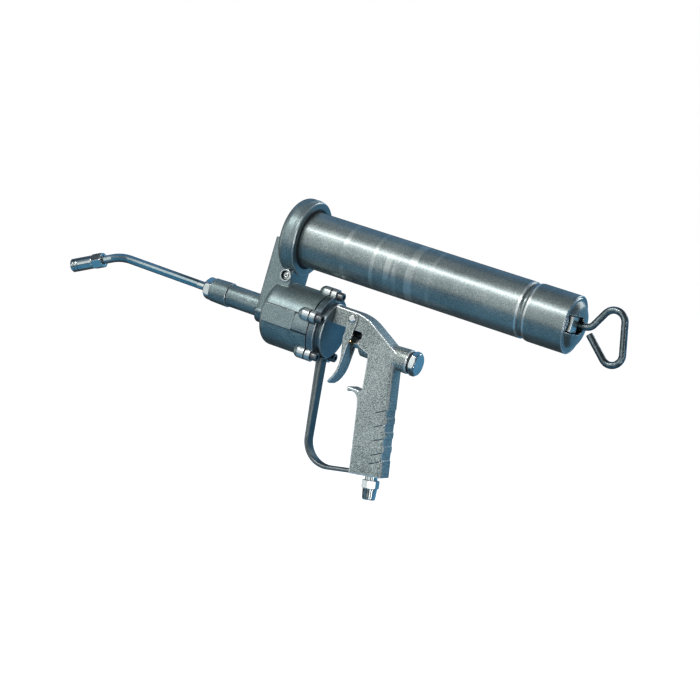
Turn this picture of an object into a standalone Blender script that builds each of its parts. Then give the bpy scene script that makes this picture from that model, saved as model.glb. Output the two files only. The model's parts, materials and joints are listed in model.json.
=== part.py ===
"""Air-operated pistol grease gun, modelled piece by piece.

Lengths are in millimetres and turned into metres when a mesh is made. The barrel's axis is X, with the
outlet towards -X and the rod handle towards +X; Z is up and -Y is the gun's left side. The origin is the
centre of the head ring's flat front face.
"""
import math

import bmesh
import bpy
from mathutils import Matrix, Vector

MM = 0.001
GAP = 0.3                      # clearance kept between neighbouring pieces

# Grease barrel
BARREL_RADIUS = 28.5
BARREL_WALL = 1.5
BARREL_FRONT = 7.0
BARREL_REAR = 311.8
BEAD_X = 266.3                 # rolled stop bead near the rear
BEAD_DEPTH = 1.9
REAR_RADIUS = 29.0             # barrel radius behind the bead
CAP_TOP_X = 319.5              # crown of the pressed end cap
CAP_HOLE = 5.8
ROD_RADIUS = 3.5               # follower rod

# Head casting
RING_RADIUS = 39.25
RING_LENGTH = 20.0
RING_FILLET = 9.0
SOCKET_FLOOR = 5.0
NECK_FRONT = -12.5
NECK_REAR = 18.0
NECK_HALF_WIDTH = 18.0
NECK_TOP = -7.0
NECK_BOTTOM = -96.3
NOSE_RADIUS = 11.55
NOSE_FRONT = -51.7

# Air motor, on the lower axis
PUMP_Z = -80.2
CYLINDER_FRONT = 1.0
CYLINDER_REAR = 58.0
CYLINDER_RADIUS = 33.8
CYLINDER_BORE = 28.05
CYLINDER_FLOOR = 12.0
LUG_CIRCLE = 34.5
LUG_RADIUS = 6.5
LUG_ANGLES = (0, 72, 144, 216, 288)
LUG_SEAT = 65.0
SCREW_HOLE = 3.0
COVER_FRONT = 59.3
COVER_REAR = 71.7
HUB_RADIUS = 28.0
PISTON_FRONT = 46.0
PISTON_REAR = 54.0
PLUNGER_RADIUS = 3.5
PLUNGER_TIP = 2.0
GREASE_PORT_X = -3.0

# Handle and trigger
HANDLE_FRONT = 72.0
HANDLE_HALF = 11.0
BLOCK_BOTTOM = -71.6
VALVE_Z = -84.6
BOSS_FRONT = 105.2
BOSS_REAR = 161.3
BOSS_BORE = 8.05
PIVOT = (93.2, -60.6)
EAR_INNER = 11.45
EAR_OUTER = 13.2
BLADE_HALF = 10.6
AIR_PORT_Z = -67.0
BOLT_Z = -61.5
BOLT_Y = 6.0
STOP_Z = -75.9
RAKE = math.radians(9.3)
REAR_SLOPE = 0.191              # how far the grip's rear edge leans back per mm down
INLET = (155.3, -204.9)        # where the inlet's axis leaves the grip
GUARD_HALF = 7.0
GUARD_SLOPE = 0.203            # rise of the guard's lower stretch towards the grip
GUARD_PIN_Z = -111.2

# Delivery line
COLLAR_FRONT = -72.7
NUT_FRONT = -83.0
PIPE_RADIUS = 4.5
PIPE_BORE = 2.4
PIPE_START = -92.1
BEND_X = -178.5
BEND_Z = -79.3
BEND_RADIUS = 50.0
COUPLER_ANGLE = math.radians(25.5)
COUPLER_NOSE = (-244.3, -105.1)
COUPLER_LENGTH = 38.5
SLEEVE_LENGTH = 26.0
SLEEVE_RADIUS = 7.25
JAW_TAPER = 0.08

FINE = 24
ROUND = 16
SMALL = 10
TINY = 8


def clear_scene():
    for item in list(bpy.data.objects):
        bpy.data.objects.remove(item)


def material(name, colour, roughness, metallic):
    paint = bpy.data.materials.new(name)
    paint.use_nodes = True
    shader = paint.node_tree.nodes["Principled BSDF"]
    shader.inputs["Base Color"].default_value = (*colour, 1.0)
    shader.inputs["Roughness"].default_value = roughness
    shader.inputs["Metallic"].default_value = metallic
    paint.diffuse_color = (*colour, 1.0)
    return paint


# ---------------------------------------------------------------- outlines

def arc(cx, cz, radius, start, end, steps):
    """Points of an arc, with its angles in degrees."""
    angles = [math.radians(start + (end - start) * i / steps) for i in range(steps + 1)]
    return [(cx + radius * math.cos(a), cz + radius * math.sin(a)) for a in angles]


def rounded(corners, steps=4):
    """Outline through (a, b, radius) corners, each rounded with an arc; a missing radius is a sharp corner."""
    points = []
    count = len(corners)
    for i, corner in enumerate(corners):
        here = Vector(corner[:2])
        radius = corner[2] if len(corner) > 2 else 0.0
        if radius <= 0:
            points.append(tuple(here))
            continue
        back = (Vector(corners[i - 1][:2]) - here).normalized()
        ahead = (Vector(corners[(i + 1) % count][:2]) - here).normalized()
        half = back.angle(ahead) / 2
        centre = here + (back + ahead).normalized() * (radius / math.sin(half))
        first = here + back * (radius / math.tan(half)) - centre
        last = here + ahead * (radius / math.tan(half)) - centre
        turn = first.angle_signed(last)
        for k in range(steps + 1):
            points.append(tuple(centre + Matrix.Rotation(-turn * k / steps, 2) @ first))
    return points


# ---------------------------------------------------------------- shapes

def finished(shape):
    bmesh.ops.remove_doubles(shape, verts=shape.verts, dist=1e-7)
    bmesh.ops.recalc_face_normals(shape, faces=shape.faces)
    return shape


def turned(profile, steps=ROUND, y=0.0, z=0.0):
    """Solid turned about a line along X, from (x, radius) points that end on the axis or form a ring."""
    shape = bmesh.new()
    verts = [shape.verts.new((x * MM, 0.0, r * MM)) for x, r in profile]
    edges = [shape.edges.new(pair) for pair in zip(verts, verts[1:])]
    if profile[0][1] > 0:
        edges.append(shape.edges.new((verts[-1], verts[0])))
    bmesh.ops.spin(shape, geom=verts + edges, cent=(0, 0, 0), axis=(1, 0, 0), angle=2 * math.pi,
                   steps=steps, use_merge=True)
    bmesh.ops.translate(shape, vec=(0, y * MM, z * MM), verts=shape.verts)
    return finished(shape)


def rod(x0, x1, radius, steps=ROUND, y=0.0, z=0.0, chamfer=0.0):
    """Plain cylinder along X, with an optional chamfer at both ends."""
    if chamfer:
        profile = [(x0, 0), (x0, radius - chamfer), (x0 + chamfer, radius),
                   (x1 - chamfer, radius), (x1, radius - chamfer), (x1, 0)]
    else:
        profile = [(x0, 0), (x0, radius), (x1, radius), (x1, 0)]
    return turned(profile, steps, y, z)


def washer(x0, x1, inner, outer, steps=ROUND, y=0.0, z=0.0):
    return turned([(x0, inner), (x0, outer), (x1, outer), (x1, inner)], steps, y, z)


def prism(outline, low, high, along="Y", bevel=0.0, segments=2):
    """Outline swept from low to high along Y (outline in X, Z), Z (in X, Y) or X (in Y, Z)."""
    place = {"X": lambda a, b, c: (c, a, b),
             "Y": lambda a, b, c: (a, c, b),
             "Z": lambda a, b, c: (a, b, c)}[along]
    shape = bmesh.new()
    base = shape.faces.new([shape.verts.new(Vector(place(a, b, low)) * MM) for a, b in outline])
    rim = list(base.edges)
    grown = bmesh.ops.extrude_face_region(shape, geom=[base])["geom"]
    top = [item for item in grown if isinstance(item, bmesh.types.BMFace)][0]
    shift = Vector(place(0, 0, high - low)) * MM
    bmesh.ops.translate(shape, vec=shift, verts=top.verts)
    bmesh.ops.recalc_face_normals(shape, faces=shape.faces)
    if bevel:
        rim = [edge for edge in rim if edge.is_valid] + list(top.edges)
        bmesh.ops.bevel(shape, geom=rim, offset=bevel * MM, segments=segments, profile=0.5, affect="EDGES")
    return shape


def block(x0, x1, y0, y1, z0, z1, bevel=0.0):
    return prism([(x0, z0), (x1, z0), (x1, z1), (x0, z1)], y0, y1, "Y", bevel, 1)


def hexagon(across_flats, turn=0.0, y=0.0, z=0.0):
    radius = across_flats / math.sqrt(3)
    angles = [turn + math.radians(60 * i) for i in range(6)]
    return [(y + radius * math.cos(a), z + radius * math.sin(a)) for a in angles]


def swept(path, radius, sides=10, bore=0.0):
    """Round bar, or tube if it has a bore, along a list of points."""
    shape = bmesh.new()
    points = [Vector(p) for p in path]
    normal = Vector((0, 1, 0))
    rings = []
    for i, point in enumerate(points):
        tangent = (points[min(i + 1, len(points) - 1)] - points[max(i - 1, 0)]).normalized()
        normal = (normal - tangent * normal.dot(tangent)).normalized()
        side = tangent.cross(normal)
        for size in (radius, bore)[:2 if bore else 1]:
            rings.append([shape.verts.new((point + size * (normal * math.cos(a) + side * math.sin(a))) * MM)
                          for a in (2 * math.pi * k / sides for k in range(sides))])
    skins = [rings[0::2], rings[1::2]] if bore else [rings]
    for skin in skins:
        for one, two in zip(skin, skin[1:]):
            for k in range(sides):
                shape.faces.new((one[k], one[(k + 1) % sides], two[(k + 1) % sides], two[k]))
    for end in (0, -1):
        if bore:
            outer, inner = skins[0][end], skins[1][end]
            for k in range(sides):
                shape.faces.new((outer[k], outer[(k + 1) % sides], inner[(k + 1) % sides], inner[k]))
        else:
            shape.faces.new(skins[0][end])
    return finished(shape)


def coil(x0, x1, radius, wire, turns, end_radius=None, per_turn=8, sides=4, y=0.0, z=0.0):
    """Open coil spring along X; its first and last turns lie flatter than the rest."""
    end_radius = radius if end_radius is None else end_radius
    steps = int(turns * per_turn)
    path = []
    for i in range(steps + 1):
        t = i / steps
        eased = t - 0.5 / turns * math.sin(2 * math.pi * t) / math.pi
        size = radius + (end_radius - radius) * t
        angle = 2 * math.pi * turns * t
        path.append((x0 + wire + (x1 - x0 - 2 * wire) * eased, y + size * math.sin(angle),
                     z + size * math.cos(angle)))
    return swept(path, wire, sides)


def temporary(shape):
    mesh = bpy.data.meshes.new("shape")
    shape.to_mesh(mesh)
    shape.free()
    item = bpy.data.objects.new("shape", mesh)
    bpy.context.scene.collection.objects.link(item)
    return item


def boolean(base, tools, operation):
    """Joins, cuts or intersects shapes one after another and returns the result as a new shape."""
    for tool in tools:
        pair = [temporary(base), temporary(tool)]
        step = pair[0].modifiers.new("step", "BOOLEAN")
        step.object = pair[1]
        step.operation = operation
        step.solver = "EXACT"
        bpy.context.view_layer.update()
        final = pair[0].evaluated_get(bpy.context.evaluated_depsgraph_get())
        base = bmesh.new()
        base.from_mesh(final.to_mesh())
        for item in pair:
            bpy.data.objects.remove(item)
        bmesh.ops.remove_doubles(base, verts=base.verts, dist=2e-6)
        bmesh.ops.dissolve_degenerate(base, edges=base.edges, dist=1e-6)
    return base


def joined(base, *others):
    return boolean(base, list(others), "UNION")


def cut(base, *tools):
    return boolean(base, list(tools), "DIFFERENCE")


def hex_piece(x0, x1, across_flats, corner_radius, lead=1.0, y=0.0, z=0.0, turn=0.0):
    """Hexagonal bar along X with turned chamfers on its ends."""
    bar = prism(hexagon(across_flats, turn, y, z), x0, x1, "X")
    limit = turned([(x0 - 1, 0), (x0 - 1, corner_radius - lead * 1.9), (x0 + lead, corner_radius + 0.2),
                    (x1 - lead, corner_radius + 0.2), (x1 + 1, corner_radius - lead * 1.9), (x1 + 1, 0)],
                   ROUND, y, z)
    return boolean(bar, [limit], "INTERSECT")


def moved(shape, matrix):
    scaled = Matrix.Translation(matrix.to_translation() * MM) @ matrix.to_3x3().to_4x4()
    bmesh.ops.transform(shape, matrix=scaled, verts=shape.verts)
    return shape


def across(x, z):
    """Turns a shape built along X so that it lies along Y through (x, z)."""
    return Matrix.Translation((x, 0, z)) @ Matrix.Rotation(math.pi / 2, 4, "Z")


def standing(x, z, lean=0.0):
    """Turns a shape built along X to point up through (x, z), leaning forward at its top by an angle."""
    return Matrix.Translation((x, 0, z)) @ Matrix.Rotation(-math.pi / 2 - lean, 4, "Y")


def part(name, shape, paint, pivot=None):
    """Adds a named piece; a moving piece hangs under an empty on its joint's axis."""
    mesh = bpy.data.meshes.new(name)
    shape.to_mesh(mesh)
    shape.free()
    mesh.shade_smooth()
    mesh.set_sharp_from_angle(angle=math.radians(32))
    mesh.materials.append(paint)
    return placed_mesh(name, mesh, pivot)


def placed_mesh(name, mesh, pivot=None):
    item = bpy.data.objects.new(name, mesh)
    bpy.context.scene.collection.objects.link(item)
    if pivot:
        item.parent = pivot
        item.matrix_parent_inverse = Matrix.Translation(pivot.location).inverted()
    return item


def axis_empty(name, x, y, z):
    item = bpy.data.objects.new(name, None)
    item.location = Vector((x, y, z)) * MM
    bpy.context.scene.collection.objects.link(item)
    return item


# ---------------------------------------------------------------- head and air cylinder

def at_lug(degrees, shape):
    """Moves a shape built on the X axis to the lug that is so many degrees round from the top one."""
    centre = Matrix.Translation((0, 0, PUMP_Z))
    turn = Matrix.Rotation(math.radians(degrees), 4, "X")
    return moved(shape, centre @ turn @ Matrix.Translation((0, 0, LUG_CIRCLE)))


def head_ring():
    corner = arc(RING_FILLET, RING_RADIUS - RING_FILLET, RING_FILLET, 180, 90, 3)
    step_x = RING_LENGTH - 5.0
    step = RING_RADIUS - 0.5
    return turned([(0, 0)] + corner + [(step_x, RING_RADIUS), (step_x + 0.4, step), (step_x + 1.6, step),
                  (step_x + 1.9, step - 0.5), (RING_LENGTH - 1.0, step - 0.5), (RING_LENGTH, step - 1.6),
                  (RING_LENGTH, 0)], FINE)


def head_neck():
    """Column between ring and cylinder, with rounded front corners and a half-round underside."""
    plan = rounded([(NECK_FRONT, -NECK_HALF_WIDTH, 5), (NECK_REAR, -NECK_HALF_WIDTH, 1.5),
                    (NECK_REAR, NECK_HALF_WIDTH, 1.5), (NECK_FRONT, NECK_HALF_WIDTH, 5)], 3)
    half = NECK_HALF_WIDTH + 1.0
    section = rounded([(-half, 5), (-half, NECK_BOTTOM, 17), (half, NECK_BOTTOM, 17), (half, 5)], 5)
    return boolean(prism(plan, NECK_BOTTOM - 5, NECK_TOP, "Z"), [prism(section, -20, 30, "X")], "INTERSECT")


def air_cylinder():
    fillet = 7.0
    corner = arc(CYLINDER_FRONT + fillet, CYLINDER_RADIUS - fillet, fillet, 180, 90, 3)
    return turned([(CYLINDER_FRONT, 0)] + corner + [(CYLINDER_REAR + 1, CYLINDER_RADIUS), (CYLINDER_REAR + 1, 0)],
                  FINE, z=PUMP_Z)


def nose():
    return turned([(NOSE_FRONT - 10.3, 0), (NOSE_FRONT - 10.3, 8.0), (NOSE_FRONT - 9.7, 8.6), (NOSE_FRONT, 8.6),
                   (NOSE_FRONT, NOSE_RADIUS - 0.5), (NOSE_FRONT + 0.5, NOSE_RADIUS), (-6, NOSE_RADIUS), (-6, 0)],
                  ROUND, z=PUMP_Z)


def lug(degrees):
    front = arc(CYLINDER_REAR - 7, 0, LUG_RADIUS, 180, 90, 3)
    return at_lug(degrees, turned(front + [(CYLINDER_REAR + 2, LUG_RADIUS), (CYLINDER_REAR + 2, 0)], SMALL))


def head_casting():
    rib = turned(arc(-9.5, 0, 3.6, 180, 90, 3) + [(3, 3.6), (3, 0)], SMALL, -15.2, PUMP_Z - 3.4)
    pad = block(6.3, 40.8, -34.4, -24, PUMP_Z - 9.2, PUMP_Z + 9.2)
    boss = moved(rod(-19.6, -12, 6.5, 20, chamfer=0.5), across(11.3, -41.0))
    solid = joined(head_ring(), head_neck(), air_cylinder(), nose(), rib, pad, boss,
                   *[lug(a) for a in LUG_ANGLES])
    grease_drop = moved(rod(-80.2, -14.5, 3.5, SMALL), standing(GREASE_PORT_X, 0))
    bleed_path = swept([(11.3, -13.5, -41.0), (-3.0, -0.5, -36.0)], 1.2, 8)
    return cut(solid,
               rod(CYLINDER_REAR, CYLINDER_REAR + 6, 60, 16, z=PUMP_Z),
               rod(SOCKET_FLOOR, RING_LENGTH + 5, BARREL_RADIUS + 0.4, FINE),
               rod(RING_LENGTH - 3.4, RING_LENGTH + 5, 31.2, FINE),
               rod(CYLINDER_FLOOR, CYLINDER_REAR + 4, CYLINDER_BORE, FINE, z=PUMP_Z),
               rod(7.7, CYLINDER_FLOOR + 1, 7.3, ROUND, z=PUMP_Z),
               rod(-46.0, 8.5, PLUNGER_RADIUS + 0.35, SMALL, z=PUMP_Z),
               rod(-55.0, -45.0, 2.2, TINY, z=PUMP_Z),
               rod(-64.0, -54.0, 4.3, SMALL, z=PUMP_Z),
               grease_drop,
               rod(GREASE_PORT_X, SOCKET_FLOOR + 2, 3.2, SMALL, z=-18.0),
               moved(rod(-25, -12.6, 4.9, 20), across(11.3, -41.0)),
               bleed_path,
               moved(rod(-118, -100, 1.5, 8), standing(16, 0)),
               *[at_lug(a, rod(47.5, CYLINDER_REAR + 4, SCREW_HOLE, TINY)) for a in LUG_ANGLES])


def bleed_screw():
    """Small fitting at the bottom of the counterbore in the neck's side."""
    body = turned([(-17.6, 0.9), (-17.6, 2.3), (-16.6, 2.6), (-16.4, 4.0), (-14.0, 4.5), (-12.95, 4.5), (-12.95, 0.9)],
                  18)
    return moved(body, across(11.3, -41.0))


def barrel_gasket():
    return washer(SOCKET_FLOOR + GAP, BARREL_FRONT - GAP, 23.5, 28.3, FINE)


def barrel_seal():
    """Rubber lip that closes the mouth of the ring round the barrel."""
    inner = BARREL_RADIUS + GAP
    return turned([(16.9, inner), (16.9, 30.9), (19.3, 30.9), (20.6, 30.0), (20.6, inner)], FINE)


# ---------------------------------------------------------------- barrel

def barrel_profile_top():
    """Outer (x, radius) line of the barrel, front to rear, with its rolled bead."""
    bead = arc(BEAD_X, BARREL_RADIUS + 1.6, BEAD_DEPTH + 1.6, 208, 332, 4)
    return ([(BARREL_FRONT, BARREL_RADIUS), (BEAD_X - 5.2, BARREL_RADIUS)] + bead
            + [(BEAD_X + 5.4, REAR_RADIUS), (BARREL_REAR - 0.5, REAR_RADIUS), (BARREL_REAR, REAR_RADIUS - 0.5)])


def barrel_tube():
    outer = barrel_profile_top()
    inner = [(x, radius - BARREL_WALL) for x, radius in reversed(outer[:-2])]
    inner.insert(0, (BARREL_REAR, REAR_RADIUS - BARREL_WALL))
    return turned(outer + inner, FINE)


def barrel_end_cap():
    edge = REAR_RADIUS - BARREL_WALL - GAP
    rim = BARREL_REAR + 0.4
    shell = turned([(300, edge), (BARREL_REAR - 0.4, edge), (rim, edge - 0.8), (rim, 23.8), (rim + 1.2, 22.6),
                    (316.0, 20.6), (318.0, 17.2), (CAP_TOP_X, 9.5), (CAP_TOP_X, CAP_HOLE),
                    (CAP_TOP_X - 1.5, CAP_HOLE), (CAP_TOP_X - 1.5, 9.0), (316.6, 16.4), (314.8, 19.4),
                    (rim - 0.3, 21.4), (rim - 1.5, 23.0), (rim - 1.5, edge - 1.5), (300, edge - 1.5)], FINE)
    slot = block(303.5, CAP_TOP_X + 2, -22.5, -0.5, -7.5, 9.5)
    return cut(shell, slot)


def rod_latch_plate():
    plate = rod(306.0, 307.4, 24.3, ROUND)
    tongue = block(306.7, 316.0, -16.6, -6.2, -5.2, 7.4, 0.8)
    return cut(joined(plate, tongue), rod(305, 309, 4.7, SMALL))


def rod_path():
    """Follower rod, straight to the end cap and then bent to a triangular pull handle, in X and Z."""
    bends = rounded([(24, 0), (300, 0, 60), (327.9, 2.0, 9), (352.3, 44.7, 11.4), (373.8, -46.0, 10.4),
                     (328.6, -4.1)], 5)
    return [(x, 0.0, z) for x, z in bends]


def follower_cup():
    """Rubber follower with a wiping lip towards the grease."""
    return turned([(36.5, 25.2), (36.0, 26.4), (44, 25.9), (50, 25.9), (50, 3.85), (33.8, 3.85), (33.8, 14),
                   (40, 18), (43, 23.6)], FINE)


def rod_nut():
    return cut(hex_piece(24.5, 29.5, 11, 6.2, 0.6), rod(20, 35, ROD_RADIUS + 0.45, SMALL))


# ---------------------------------------------------------------- air motor

def air_piston():
    edge = CYLINDER_BORE - 0.75
    disc = turned([(PISTON_FRONT, 3.3), (PISTON_FRONT, 24), (PISTON_FRONT + 1, edge), (PISTON_FRONT + 2.2, edge),
                   (PISTON_FRONT + 2.2, 24.9), (PISTON_FRONT + 5.8, 24.9), (PISTON_FRONT + 5.8, edge),
                   (PISTON_REAR, edge), (PISTON_REAR, 3.3)], FINE, z=PUMP_Z)
    return disc


def piston_seal():
    return washer(PISTON_FRONT + 2.5, PISTON_FRONT + 5.5, 25.2, CYLINDER_BORE - 0.4, FINE, z=PUMP_Z)


def plunger():
    return turned([(PLUNGER_TIP, 0), (PLUNGER_TIP, 3.0), (PLUNGER_TIP + 0.5, PLUNGER_RADIUS),
                   (PISTON_FRONT - 4, PLUNGER_RADIUS), (PISTON_FRONT - 4, 6.0), (PISTON_FRONT - GAP, 6.0),
                   (PISTON_FRONT - GAP, 3.0), (PISTON_REAR + 5.4, 3.0), (PISTON_REAR + 5.4, 0)], 16, z=PUMP_Z)


def piston_nut():
    return cut(hex_piece(PISTON_REAR + GAP, PISTON_REAR + 4.6, 10, 5.6, 0.5, z=PUMP_Z),
               rod(PISTON_REAR - 1, PISTON_REAR + 7, 3.3, 12, z=PUMP_Z))


def rear_cover():
    face = turned([(55.2, 0), (55.2, 27.0), (55.8, 27.8), (COVER_FRONT - 1, 27.8), (COVER_FRONT - 1, CYLINDER_RADIUS),
                   (65.7, CYLINDER_RADIUS), (66.3, CYLINDER_RADIUS - 0.6), (66.3, HUB_RADIUS),
                   (COVER_REAR - 0.8, HUB_RADIUS), (COVER_REAR, HUB_RADIUS - 0.8), (COVER_REAR, 0)], FINE, z=PUMP_Z)
    ears = [at_lug(a, rod(COVER_FRONT - 2, LUG_SEAT + 0.1, LUG_RADIUS, SMALL)) for a in LUG_ANGLES]
    tools = [at_lug(a, rod(50, LUG_SEAT + 4, SCREW_HOLE, TINY)) for a in LUG_ANGLES]
    tools += [at_lug(a, rod(LUG_SEAT, LUG_SEAT + 4, 5.1, SMALL)) for a in LUG_ANGLES]
    tools += [rod(50, COVER_REAR + 2, SCREW_HOLE, TINY, y, BOLT_Z) for y in (-BOLT_Y, BOLT_Y)]
    tools += [rod(50, 61.0, 4.9, SMALL, y, BOLT_Z) for y in (-BOLT_Y, BOLT_Y)]
    tools += [washer(54, COVER_FRONT, 27.6, 60, FINE, z=PUMP_Z),
              rod(50, 61.5, 8.0, 20, z=PUMP_Z),
              rod(50, COVER_REAR + 2, 2.1, TINY, z=AIR_PORT_Z),
              block(62.6, 68, -GUARD_HALF - GAP, GUARD_HALF + GAP, -116, -108.3),
              rod(58, 64, 1.6, 8, z=GUARD_PIN_Z)]
    return cut(joined(face, *ears), *tools)


def cap_screw(head, length, seat, head_height, head_radius, shank, socket, y, z, toward=1):
    """Socket cap screw along X with its head behind the seat; toward -1 turns it end for end."""
    rear = seat + toward * head_height
    tip = seat - toward * length
    body = turned([(tip, 0), (tip, shank - 0.4), (tip + toward * 0.5, shank), (seat, shank), (seat, head_radius),
                   (rear - toward * 0.5, head_radius), (rear, head_radius - 0.5), (rear, 0)], head, y, z)
    ends = sorted((rear - toward * 3.2, rear + toward))
    key = prism(hexagon(socket, 0.3, y, z), *ends, "X")
    return cut(body, key)


# ---------------------------------------------------------------- handle

def grip_rear(z):
    """X of the grip's straight rear edge at a height."""
    return 150.0 + (-97.0 - z) * REAR_SLOPE


def at_rear(z, shape):
    """Moves a shape built at the origin to the grip's rear edge, with its X axis square to that edge."""
    lean = Matrix.Rotation(-math.atan(REAR_SLOPE), 4, "Y")
    return moved(shape, Matrix.Translation((grip_rear(z), 0, z)) @ lean)


def handle_outline():
    """Side view of the flat handle casting; its front runs on so that it can be cut square."""
    return rounded([
        (HANDLE_FRONT - 3, -54.0), (105, -54.0, 48), (139.5, -74.2, 14), (150.0, -80.0), (148.7, -90),
        (grip_rear(-201.4), -201.4, 2.2), (134.7, -207.3, 1.4),
        (122.3, -140, 12), (118.6, -129.6, 8), (111, -129.4, 2.2), (108.2, -131.6, 1.3), (106.7, -125.8, 1.3),
        (123.4, -126.6, 2.4), (118.8, -90), (BOSS_FRONT + 1.8, -86), (BOSS_FRONT + 1.8, BLOCK_BOTTOM, 3.5),
        (HANDLE_FRONT - 3, BLOCK_BOTTOM)], 3)


def grip_notch(index):
    """One of the four shallow finger notches across the back of the grip."""
    notch = prism(rounded([(-1.9, -4.1, 0.6), (6, -4.1), (6, 4.1), (-1.9, 4.1, 0.6)], 2), -13, 13)
    return at_rear(-139.0 - 13.8 * index, notch)


def grip_corner(side):
    """Long cutter that rounds one rear edge of the grip."""
    radius = 4.55
    middle = HANDLE_HALF - 4.53
    curve = [(a, side * b) for a, b in arc(-4.5, middle, radius, 90, 0, 4)]
    outline = [(2, side * 12.5), (-4.5, side * 12.5)] + curve + [(2, side * middle)]
    return at_rear(-97.0, prism(outline, -112, 8, "Z"))


def guard_lower_z(x, lift):
    """Height of the guard's lower stretch at x; lift 0 is its outer face."""
    return -213.4 + (x - 105.0) * GUARD_SLOPE + lift


def valve_boss():
    return turned([(BOSS_FRONT, 0), (BOSS_FRONT, 8.0), (BOSS_FRONT + 2.3, 10.3), (BOSS_REAR - 1.6, 12.35),
                   (BOSS_REAR - 0.4, 11.9), (BOSS_REAR, 10.9), (BOSS_REAR, 0)], ROUND, z=VALVE_Z)


def handle():
    slab = prism(handle_outline(), -HANDLE_HALF, HANDLE_HALF, "Y", 1.2, 1)
    solid = joined(cut(slab, grip_corner(-1), grip_corner(1)), valve_boss())
    inlet_bore = moved(rod(-6, 119, 5.0, SMALL), standing(*INLET, RAKE))
    inlet_thread = moved(rod(-6, 10.5, 6.6, 18), standing(*INLET, RAKE))
    end_x = 141.4
    seat = prism([(128, guard_lower_z(128, 4.3)), (128, -214), (end_x, -214), (end_x, guard_lower_z(end_x, 4.3))],
                 -GUARD_HALF - GAP, GUARD_HALF + GAP)
    screw_hole = moved(rod(-6, 9, 1.9, 8), guard_screw_place())
    return cut(solid,
               block(HANDLE_FRONT - 10, HANDLE_FRONT, -20, 20, -90, -40),
               rod(112, BOSS_REAR + 4, BOSS_BORE, ROUND, z=VALVE_Z),
               rod(98, 113, 4.6, SMALL, z=VALVE_Z),
               moved(rod(VALVE_Z + 2, AIR_PORT_Z + 0.9, 2.1, TINY), standing(113.4, 0)),
               rod(HANDLE_FRONT - 4, 114.6, 2.1, TINY, z=AIR_PORT_Z),
               moved(rod(-15, 15, 2.8, SMALL), across(*PIVOT)),
               rod(HANDLE_FRONT - 4, 87.5, SCREW_HOLE, TINY, -BOLT_Y, BOLT_Z),
               rod(HANDLE_FRONT - 4, 87.5, SCREW_HOLE, TINY, BOLT_Y, BOLT_Z),
               rod(98, 113.2, SCREW_HOLE, TINY, z=STOP_Z),
               rod(98, BOSS_FRONT + 2.3, 4.3, SMALL, z=STOP_Z),
               inlet_bore, inlet_thread, seat, screw_hole,
               *[grip_notch(i) for i in range(4)])


def stop_screw():
    """Shoulder screw whose head stops the trigger."""
    wall = BOSS_FRONT + 1.8
    body = turned([(wall - 13.4, 0), (wall - 13.4, 3.5), (wall - 12.9, 4.0), (wall - 6.4, 4.0), (wall - 6.4, 3.4),
                   (wall - GAP, 3.4), (wall - GAP, 2.5), (112.6, 2.5), (112.6, 0)], 12, z=STOP_Z)
    return cut(body, prism(hexagon(3.2, 0.3, 0, STOP_Z), wall - 15, wall - 10.6, "X"))


def valve_gland():
    body = joined(hex_piece(97.4, BOSS_FRONT - GAP, 8.4, 4.8, 0.5, z=VALVE_Z),
                  rod(BOSS_FRONT - 1, 111.6, 4.1, SMALL, z=VALVE_Z))
    return cut(body, rod(90, 115, 2.7, SMALL, z=VALVE_Z))


def valve_stem():
    """Brass stem pushed rearward by the trigger, with the poppet that it lifts off the seat."""
    return turned([(90.6, 0), (90.6, 1.7), (91.1, 2.3), (120.3, 2.3), (120.3, 6.0), (123.6, 6.0),
                   (123.6, 3.0), (127, 3.0), (127, 0)], 16, z=VALVE_Z)


def rear_plug():
    face = turned([(168, 0), (168, 11.2), (169.3, 11.2), (170.0, 10.6), (170.0, 0)], ROUND, z=VALVE_Z)
    return joined(rod(157.5, 164.5, 7.7, 20, z=VALVE_Z),
                  hex_piece(163.4, 169.0, 22.4, 12.3, 0.9, z=VALVE_Z, turn=0.35), face)


def air_inlet():
    """Hexagon bush screwed up into the grip, with a tapered hose stub below it."""
    body = joined(hex_piece(-11.0, -2.9, 15.4, 8.6, 0.7),
                  rod(-3.5, 6.5, 6.2, 18),
                  turned([(-22.4, 0), (-22.4, 5.9), (-21.6, 6.6), (-10.5, 7.5), (-10.5, 0)], 20))
    body = cut(body, rod(-24, 8, 4.0, SMALL))
    return moved(body, standing(*INLET, RAKE))


# ---------------------------------------------------------------- trigger and guard

def trigger_arms():
    """Block from which the two pivot ears are cut."""
    pivot_x, pivot_z = PIVOT
    outline = rounded([(89.2, -81.2), (pivot_x - 5.2, pivot_z + 5.2, 4.8), (pivot_x + 5.2, pivot_z + 5.2, 4.8),
                       (pivot_x + 5.0, -66), (97.0, -81.2, 1.0)], 4)
    return prism(outline, -EAR_OUTER, EAR_OUTER, "Y", 0.35, 1)


def blade_curve(offset):
    """Side-view line of the finger plate from top to tip, offset rearward."""
    centre_x, centre_z, radius = 55.09, -105.4, 36 + offset
    tip = (83.0 + 0.873 * offset, -129.2 - 0.488 * offset)
    top = (86.8 + 0.982 * offset, -79.6 + 0.188 * offset)
    return [top] + arc(centre_x, centre_z, radius, 10.8, -29.2, 6) + [tip]


def trigger_blade():
    """Finger plate with side flanges that die out above its rounded tip."""
    rear = [point for point in reversed(blade_curve(2.2)) if point[1] < -116.3]
    outline = blade_curve(0) + rear + [(92.7, -111.5), (94.6, -86), (94.6, -79.6)]
    half = BLADE_HALF + 0.5
    limit = rounded([(-half, -70), (-half, -130.7, 8.5), (half, -130.7, 8.5), (half, -70)], 4)
    plate = prism(outline, -BLADE_HALF, BLADE_HALF, "Y", 0.4, 1)
    return boolean(plate, [prism(limit, 75, 105, "X")], "INTERSECT")


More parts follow.
